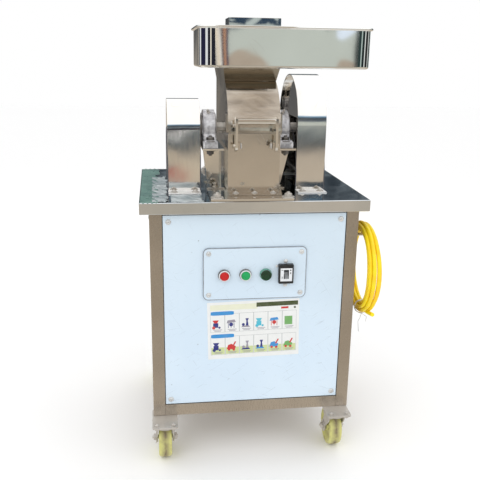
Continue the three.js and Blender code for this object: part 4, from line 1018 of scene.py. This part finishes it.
def add_label():
    """A white sheet with two rows of six plain pictures, coloured bars, and no lettering."""
    label = Label()
    label.patch(0, 1, 0, 1, "ink_white", 0)
    label.patch(0.03, 0.54, 0.86, 0.955, "ink_cream", 1)
    label.patch(0.53, 0.985, 0.89, 0.965, "ink_olive")
    label.patch(0.80, 0.88, 0.835, 0.87, "ink_red")
    label.disc(0.95, 0.850, 0.012, "ink_olive")
    rows = (
        (0.475, "ink_white", ((0, "navy", "red"), (1, "grey", "navy"), (2, "navy", "grey"),
                              (0, "cyan", "cyan"), (1, "blue", "red"), (3, "green", "green"))),
        (0.075, "ink_lime", ((0, "navy", "navy"), (4, "red", "red"), (2, "grey", "navy"),
                             (2, "navy", "blue"), (4, "blue", "red"), (4, "green", "red"))),
    )
    tile = 0.1565
    for base, ground, pictures in rows:
        for i, (kind, first, second) in enumerate(pictures):
            u = 0.03 + i * tile
            label.patch(u, u + tile, base, base + 0.325, "ink_line", 0.6)
            label.patch(u + 0.003, u + tile - 0.003, base + 0.005, base + 0.320, "ink_white", 1)
            label.patch(u + 0.006, u + tile - 0.006, base + 0.010, base + 0.130, ground, 1.4)
            machine_picture(label, u, base, kind, "ink_" + first, "ink_" + second)
            for line in range(2):
                inset = 0.030 + 0.012 * line
                low = base + 0.040 - 0.022 * line
                label.patch(u + inset, u + tile - inset, low, low + 0.010, "ink_grey")
        tab = [(0.035 + 0.25 * (x + 1) / 2, base + 0.300 + 0.066 * (y + 1) / 2)
               for x, y in rounded(-1, 1, -1, 1, 0.35, 4)]
        label.slip(tab, "ink_blue", 4)
    piece("picture_label", label.shape, "cabinet", "filmed_steel", label.inks)


# ---------- torn film on the deck ----------
def torn_sheet(name, material, x0, x1, y0, y1, ragged, seed, lift):
    """A thin crumpled sheet on the deck: straight at x0, and torn at x1 and at both ends."""
    draw = random.Random(seed)
    across, along_y = 26, 60
    tears = [draw.uniform(-1, 1) for _ in range(along_y + 1)]
    for _ in range(2):
        tears = [(tears[max(i - 1, 0)] + 2 * t + tears[min(i + 1, along_y)]) / 4
                 for i, t in enumerate(tears)]
    bumps = [(draw.uniform(30, 160), draw.uniform(30, 160), draw.uniform(0, TAU))
             for _ in range(5)]
    points = []
    for j in range(along_y + 1):
        v = j / along_y
        edge = x1 + ragged * (tears[j] * 1.4 + 0.35 * math.sin(9 * v * TAU))
        for i in range(across + 1):
            u = i / across
            x, y = x0 + (edge - x0) * u, y0 + (y1 - y0) * v
            y += 0.4 * ragged * math.sin(23 * u + seed) * (2 * v - 1) ** 5
            wave = sum(math.sin(a * x * 3 + b * y * 2 + c) for a, b, c in bumps) / len(bumps)
            crumple = lift * (0.35 + 0.65 * u) * max(0.0, 0.4 + wave)
            points.append((x, y, DECK_HI.z + 0.00015 + crumple))
    row = across + 1
    faces = [[j * row + i, j * row + i + 1, (j + 1) * row + i + 1, (j + 1) * row + i]
             for j in range(along_y) for i in range(across)]
    made = piece(name, Shape().add(points, faces), "cabinet", "filmed_steel", [material], angle=60)
    solid = made.modifiers.new("thickness", "SOLIDIFY")
    solid.thickness = 0.0001
    solid.offset = 1


def add_films():
    """A teal strip along the deck's left edge, and white remains beside and before the left cover."""
    inner = 0.0018
    cover_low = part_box("left_cover")[0]
    torn_sheet("film_at_edge", "film_teal", DECK_LO.x + inner, DECK_LO.x + 0.044,
               DECK_LO.y + inner, DECK_HI.y - inner, 0.010, 3, 0.0006)
    torn_sheet("film_by_cover", "film_white", DECK_LO.x + 0.030, cover_low.x - 0.003,
               DECK_LO.y + 0.012, DECK_LO.y + 0.330, 0.006, 8, 0.0022)
    torn_sheet("film_in_front", "film_white", cover_low.x + 0.004, cover_low.x + 0.078,
               DECK_LO.y + 0.006, cover_low.y - 0.003, 0.003, 5, 0.0010)


# ---------- bolts of the mill, covers and stands ----------
def add_deck_bolts():
    """Bolts through the covers' flanges, the mill's base plate and the casing's feet."""
    shape = Shape()
    for cover in ("left_cover", "right_guard"):
        low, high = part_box(cover)
        for x in (low.x + 0.014, high.x - 0.014):
            for y in (low.y + 0.018, high.y - 0.018):
                hex_bolt(shape, (0, 0, 1), (x, y, DECK_HI.z + 0.0023), 0.010, 0.004)
    low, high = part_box("mill_base_plate")
    for x in (low.x + 0.016, high.x - 0.012):
        for y in (low.y + 0.016, high.y - 0.016):
            hex_bolt(shape, (0, 0, 1), (x, y, high.z), 0.016, 0.008)
    low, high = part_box("lower_housing")
    for x in (low.x + 0.018, (low.x + high.x) / 2, high.x - 0.018):
        for y in (low.y + 0.016, high.y - 0.016):
            hex_bolt(shape, (0, 0, 1), (x, y, FOOT_TOP), 0.008, 0.003)
    piece("deck_bolts", shape, "cabinet", "zinc_steel", bevel=0.0004)


def add_stand_feet():
    """Each stand's foot: a folded strip beside its web, bolted down in front and behind."""
    casing_low, casing_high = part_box("lower_housing")
    left = (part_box("pedestal_left")[0].x + 0.0105, casing_low.x - 0.0015)
    right = (casing_high.x + 0.0015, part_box("pedestal_right")[1].x - 0.0245)
    for side, (x0, x1) in (("left", left), ("right", right)):
        shape = Shape()
        for y0, y1 in ((AXIS_Y - 0.075, AXIS_Y - 0.0195), (AXIS_Y + 0.0195, AXIS_Y + 0.075)):
            block(shape, (x0, y0, MILL_BASE_TOP + 0.0003), (x1, y1, FOOT_TOP))
            hex_bolt(shape, (0, 0, 1), ((x0 + x1) / 2, (y0 + y1) / 2, FOOT_TOP), 0.013, 0.006)
        piece("stand_foot_" + side, shape, "cabinet", "mirror_steel", ["casing_steel"], bevel=0.0005)


def add_pin_ends():
    """The domed ends of the hood's hinge pin, and of the latch's pivots, which face each other."""
    joints = {joint["name"]: joint for joint in frame["joints"]}
    hinge = [(0, 0), (0.0052, 0), (0.0048, 0.0018), (0.003, 0.003), (0, 0.0034)]
    pivot = [(0, 0), (0.0075, 0), (0.0075, 0.0015), (0.0055, 0.0035), (0, 0.0042)]
    for name, moved, body, profile, out, facing in (
            ("hinge_pin_ends", "hood_open", "hood", hinge, 0.0301, 1),
            ("pivot_ends", "latch_swing", "cabinet", pivot, 0.0372, -1)):
        x, y, z = joints[moved]["pos_m"]
        shape = Shape()
        for end in (-1, 1):
            lathe(shape, profile, along((end * facing, 0, 0), (x + end * out, y, z)), 24)
        piece(name, shape, body, "zinc_steel")


# ---------- covers and motor ----------
# Each cover's sides (X), front (Y), radius of its round top, and top (Z).
COVERS = ((-0.2175, -0.1371, -0.107, 0.072, 0.827), (0.1045, 0.1775, -0.110, 0.122, 0.838))


def add_cover_seam_shade():
    """A folded seam round each side of the two covers, coloured dark as painted shade along their edges."""
    shape = Shape()
    for left, right, front, radius, top in COVERS:
        for x in (left, right):
            path = [Vector((x, front, DECK_HI.z + 0.004))]
            for i in range(25):
                turn = math.pi * i / 24
                path.append(Vector((x, front + radius * (1 - math.cos(turn)),
                                    top - radius + radius * math.sin(turn))))
            path.append(Vector((x, front + 2 * radius, DECK_HI.z + 0.004)))
            swept(shape, path, 0.0013, 8)
    # Painted shade: the seam's dark colour stands for the dark line along the covers' edges.
    piece("cover_seam_shade", shape, "cabinet", "zinc_steel", ["seam"])


def add_motor_trim():
    """Cooling fins on the barrel, and the fan cowl's slots as black slabs of painted shade."""
    low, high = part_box("motor_body")
    y, z = middle("motor_pulley").yz
    barrel = 0.078
    shape = Shape()
    for i in range(40):
        a = TAU * (i + 0.5) / 40
        if -0.45 < math.sin(a) < 0.80:
            move = Matrix.Translation((0, y, z)) @ Matrix.Rotation(a, 4, "X")
            block(shape, (low.x + 0.030, barrel - 0.001, -0.0011),
                  (high.x - 0.028, barrel + 0.0065, 0.0011), move)
    piece("motor_fins", shape, "cabinet", "motor_paint", bevel=0.0004)
    shape = Shape()
    # Painted shade: black slabs stand where the cowl's slots show the dark inside.
    for i in range(18):
        move = Matrix.Translation((0, y, z)) @ Matrix.Rotation(TAU * i / 18, 4, "X")
        block(shape, (low.x - 0.0006, 0.026, -0.0022), (low.x + 0.0004, 0.058, 0.0022), move)
    piece("cowl_slot_shade", shape, "cabinet", "black_plastic")


# ---------- floor, world and lights ----------
def add_stage():
    """A white floor, the world and three soft lamps that metal doesn't mirror."""
    size = 12
    mesh = bpy.data.meshes.new("floor")
    square = [(-size, -size, 0), (size, -size, 0), (size, size, 0), (-size, size, 0)]
    mesh.from_pydata(square, [], [[0, 1, 2, 3]])
    floor = bpy.data.objects.new("floor", mesh)
    bpy.context.scene.collection.objects.link(floor)
    paint = Paint("floor", Base_Color=(0.99, 0.99, 0.99), Roughness=0.9)
    mesh.materials.append(paint.material)
    floor.visible_glossy = False
    add_world()
    add_light("key", (-1.6, -2.2, 2.4), 1.8, 14)
    add_light("fill", (2.0, -1.4, 1.6), 1.8, 5)
    add_light("back", (0.6, 2.4, 2.2), 2.0, 8)


def add_light(name, place, size, power):
    light = bpy.data.lights.new(name, "AREA")
    light.size = size
    light.energy = power
    lamp = bpy.data.objects.new(name, light)
    bpy.context.scene.collection.objects.link(lamp)
    lamp.location = place
    lamp.rotation_euler = (Vector((0, 0, 0.6)) - Vector(place)).to_track_quat("-Z", "Y").to_euler()
    lamp.visible_glossy = False


# What polished metal sees: a workshop, bright above, dark behind and tan below.
WHITE, TAN, DARK = (1.3, 1.3, 1.3), (0.56, 0.49, 0.40), (0.05, 0.06, 0.07)
PALE, SLATE = (0.57, 0.61, 0.56), (0.10, 0.12, 0.13)
GROUND = [(-1.0, (0.80, 0.78, 0.74)), (-0.60, (0.78, 0.74, 0.68)), (-0.42, TAN)]


class Sky(Nodes):
    """The world's node tree, painted in layers by the direction that a ray looks in."""

    def __init__(self, tree):
        super().__init__(tree, "Generated")
        self.x, self.y, self.z = self.axes()
        self.wavy = self.maths("ADD", self.z, self.ranged(self.noise(3.2, 3), 0, 1, -0.02, 0.02))

    def horizon(self):
        """Seen in front, level bands; beyond the machine's own width the dark ones are left out."""
        banded = self.ramp(self.wavy, GROUND + [
            (-0.115, TAN), (-0.10, DARK), (-0.07, (0.12, 0.15, 0.17)), (-0.05, PALE), (0.065, PALE),
            (0.08, (0.10, 0.14, 0.18)), (0.20, DARK), (0.25, (0.10, 0.20, 0.30)),
            (0.285, (0.32, 0.58, 0.82)), (0.31, WHITE), (1.0, WHITE)])
        plain = self.ramp(self.wavy, GROUND + [
            (-0.115, TAN), (-0.05, PALE), (0.065, PALE), (0.20, (0.30, 0.34, 0.34)), (0.31, WHITE),
            (1.0, WHITE)])
        return self.mixed(self.band(self.x, 0.0, 0.015, 0.33, 0.36), plain, banded)

    def column(self, front):
        """Over the mill's own column the surroundings stay tan, in level bands."""
        patches = self.ranged(self.noise(14, 2, (0.3, 0.3, 1.6)), 0.42, 0.56)
        bands = self.mixed(patches, (0.56, 0.48, 0.39), (0.40, 0.33, 0.26))
        inside = self.both(self.ranged(self.distance(self.x, 0.152), 0.052, 0.060, 1, 0),
                           self.ranged(self.z, 0.055, 0.075))
        return self.mixed(inside, front, bands)

    def yard(self, front):
        """Low and to the left, the left cover sees someone's red sleeve against a grey yard."""
        patches = self.ranged(self.noise(19, 2, distortion=1.0), 0.42, 0.55)
        yard = self.mixed(patches, (0.62, 0.54, 0.42), (0.26, 0.26, 0.25))
        left_low = self.both(self.ranged(self.x, 0.088, 0.096, 1, 0),
                             self.band(self.z, -0.214, -0.208, -0.10, -0.095))
        front = self.mixed(left_low, front, yard)
        sleeve = self.spot(self.x, self.both(self.z, 0.5), (0.034, -0.082), 0.010, 0.004)
        return self.mixed(sleeve, front, (0.42, 0.06, 0.05))

    def round_corners(self, front):
        """A tan floor seen round the tray's low corners, a bright window and a white wall."""
        rings = self.ranged(self.maths("SINE", self.both(self.noise(38, 1), 60)), -1, 1, 0, 0.35)
        floor = self.mixed(rings, (0.50, 0.42, 0.34), (0.36, 0.29, 0.22))
        for centre, radius, soft, seen in (((0.139, -0.018), 0.026, 0.003, floor),
                                           ((0.291, -0.018), 0.016, 0.003, floor),
                                           ((0.289, 0.046), 0.014, 0.003, (0.85, 0.95, 1.1)),
                                           ((0.035, 0.00), 0.058, 0.006, WHITE)):
            front = self.mixed(self.spot(self.x, self.z, centre, radius, soft), front, seen)
        return front

    def over_tray(self, front):
        """The feed guard, over the tray, sees the yard's dark and light things."""
        patches = self.ranged(self.noise(58, 3, distortion=1.0), 0.45, 0.52)
        blotches = self.mixed(patches, (0.62, 0.68, 0.64), (0.04, 0.07, 0.11))
        return self.mixed(self.band(self.z, 0.0450, 0.0462, 0.060, 0.064), front, blotches)

    def beside_corners(self, front):
        """Bars seen in the tray's front beside its round corners."""
        outer = self.maths("MAXIMUM", self.ranged(self.x, 0.1155, 0.1165, 1, 0),
                           self.ranged(self.x, 0.300, 0.302))
        level = self.both(self.ranged(self.distance(self.z, 0), 0.050, 0.052, 1, 0), outer)
        bars = self.ramp(self.x, [
            (0.0910, (0.02, 0.02, 0.03)), (0.0920, (1.0, 0.95, 0.86)), (0.0960, (0.80, 0.66, 0.48)),
            (0.1015, (0.95, 0.92, 0.88)), (0.1035, (0.03, 0.03, 0.05)), (0.1065, (0.03, 0.03, 0.05)),
            (0.1080, (0.60, 0.28, 0.14)), (0.1110, (0.60, 0.34, 0.20)), (0.1120, (0.03, 0.03, 0.08)),
            (0.1160, (0.03, 0.03, 0.08)), (0.3000, (0.05, 0.06, 0.06)), (0.4000, (0.04, 0.08, 0.07))])
        return self.mixed(level, front, bars)

    def workshop(self):
        """Behind: a bright ceiling over a dark band in patches; dark all the way down at the left."""
        rear = self.ramp(self.wavy, GROUND + [
            (-0.02, TAN), (0.06, DARK), (0.28, SLATE), (0.36, (0.45, 0.50, 0.52)), (0.45, WHITE),
            (1.0, WHITE)])
        shade = self.ramp(self.wavy, [
            (-1.0, (0.80, 0.78, 0.74)), (-0.60, (0.60, 0.56, 0.50)), (-0.30, (0.22, 0.20, 0.18)),
            (-0.05, (0.10, 0.10, 0.10)), (0.12, DARK), (0.30, SLATE), (0.45, (0.30, 0.33, 0.34)),
            (0.60, WHITE), (1.0, WHITE)])
        rear = self.mixed(self.band(self.x, -0.42, -0.36, -0.08, -0.04), rear, shade)
        patches = self.ranged(self.noise(30, 4, (1, 1, 2), 0.8), 0.45, 0.60)
        dim = self.mixed(patches, (0.03, 0.04, 0.05), (0.20, 0.23, 0.25))
        return self.mixed(self.spot(self.z, 0, (0.19, 0), 0.06, 0.06), rear, dim)

    def beside(self, around):
        """Upright dark and bright things at both sides, seen in the tray's round corners."""
        stops, colour = [], None
        for at, after in ((-1.0, (0.02, 0.02, 0.05)), (-0.93, (0.78, 0.80, 0.82)),
                          (-0.76, (0.02, 0.02, 0.03)), (-0.50, (0.95, 0.88, 0.75)),
                          (0.34, (0.03, 0.05, 0.05)), (0.60, (0.45, 0.55, 0.52)),
                          (0.72, (0.02, 0.03, 0.03)), (0.92, (0.80, 0.84, 0.82)),
                          (0.97, (0.03, 0.03, 0.03))):
            if colour:
                stops.append((at, colour))
            stops.append((at + 0.004, after))
            colour = after
        level = self.both(self.ranged(self.distance(self.x, 0), 0.34, 0.42),
                          self.ranged(self.distance(self.z, 0), 0.06, 0.075, 1, 0))
        return self.mixed(level, around, self.ramp(self.x, stops))


def add_world():
    """An even white studio for everything but polished metal, which sees the workshop."""
    world = bpy.data.worlds.new("studio")
    bpy.context.scene.world = world
    world.use_nodes = True
    sky = Sky(world.node_tree)
    front = sky.horizon()
    for layer in (sky.column, sky.yard, sky.round_corners, sky.over_tray, sky.beside_corners):
        front = layer(front)
    around = sky.beside(sky.mixed(sky.ranged(sky.y, -0.1, 0.35), front, sky.workshop()))
    path = sky.node("ShaderNodeLightPath", {})
    lit = sky.mixed(path.outputs["Is Glossy Ray"], (1.0, 1.0, 1.0), around)
    sky.put(sky.tree.nodes["Background"].inputs["Color"], lit)
    bpy.context.scene.view_settings.view_transform = "Standard"


# ---------- the whole scene ----------
def main():
    MATERIALS.update(make_materials())
    add_camera()
    add_cable()
    dress_nodes()
    add_tray()
    for corner in CORNERS:
        add_wheel(corner)
        add_caster_plate(corner)
        add_caster_fork(corner)
    for side in ("left", "right"):
        add_bearing(side)
    add_buttons()
    add_plate_edge()
    add_breaker_trim()
    add_screws()
    add_label()
    add_films()
    add_deck_bolts()
    add_stand_feet()
    add_pin_ends()
    add_cover_seam_shade()
    add_motor_trim()
    add_stage()


main()
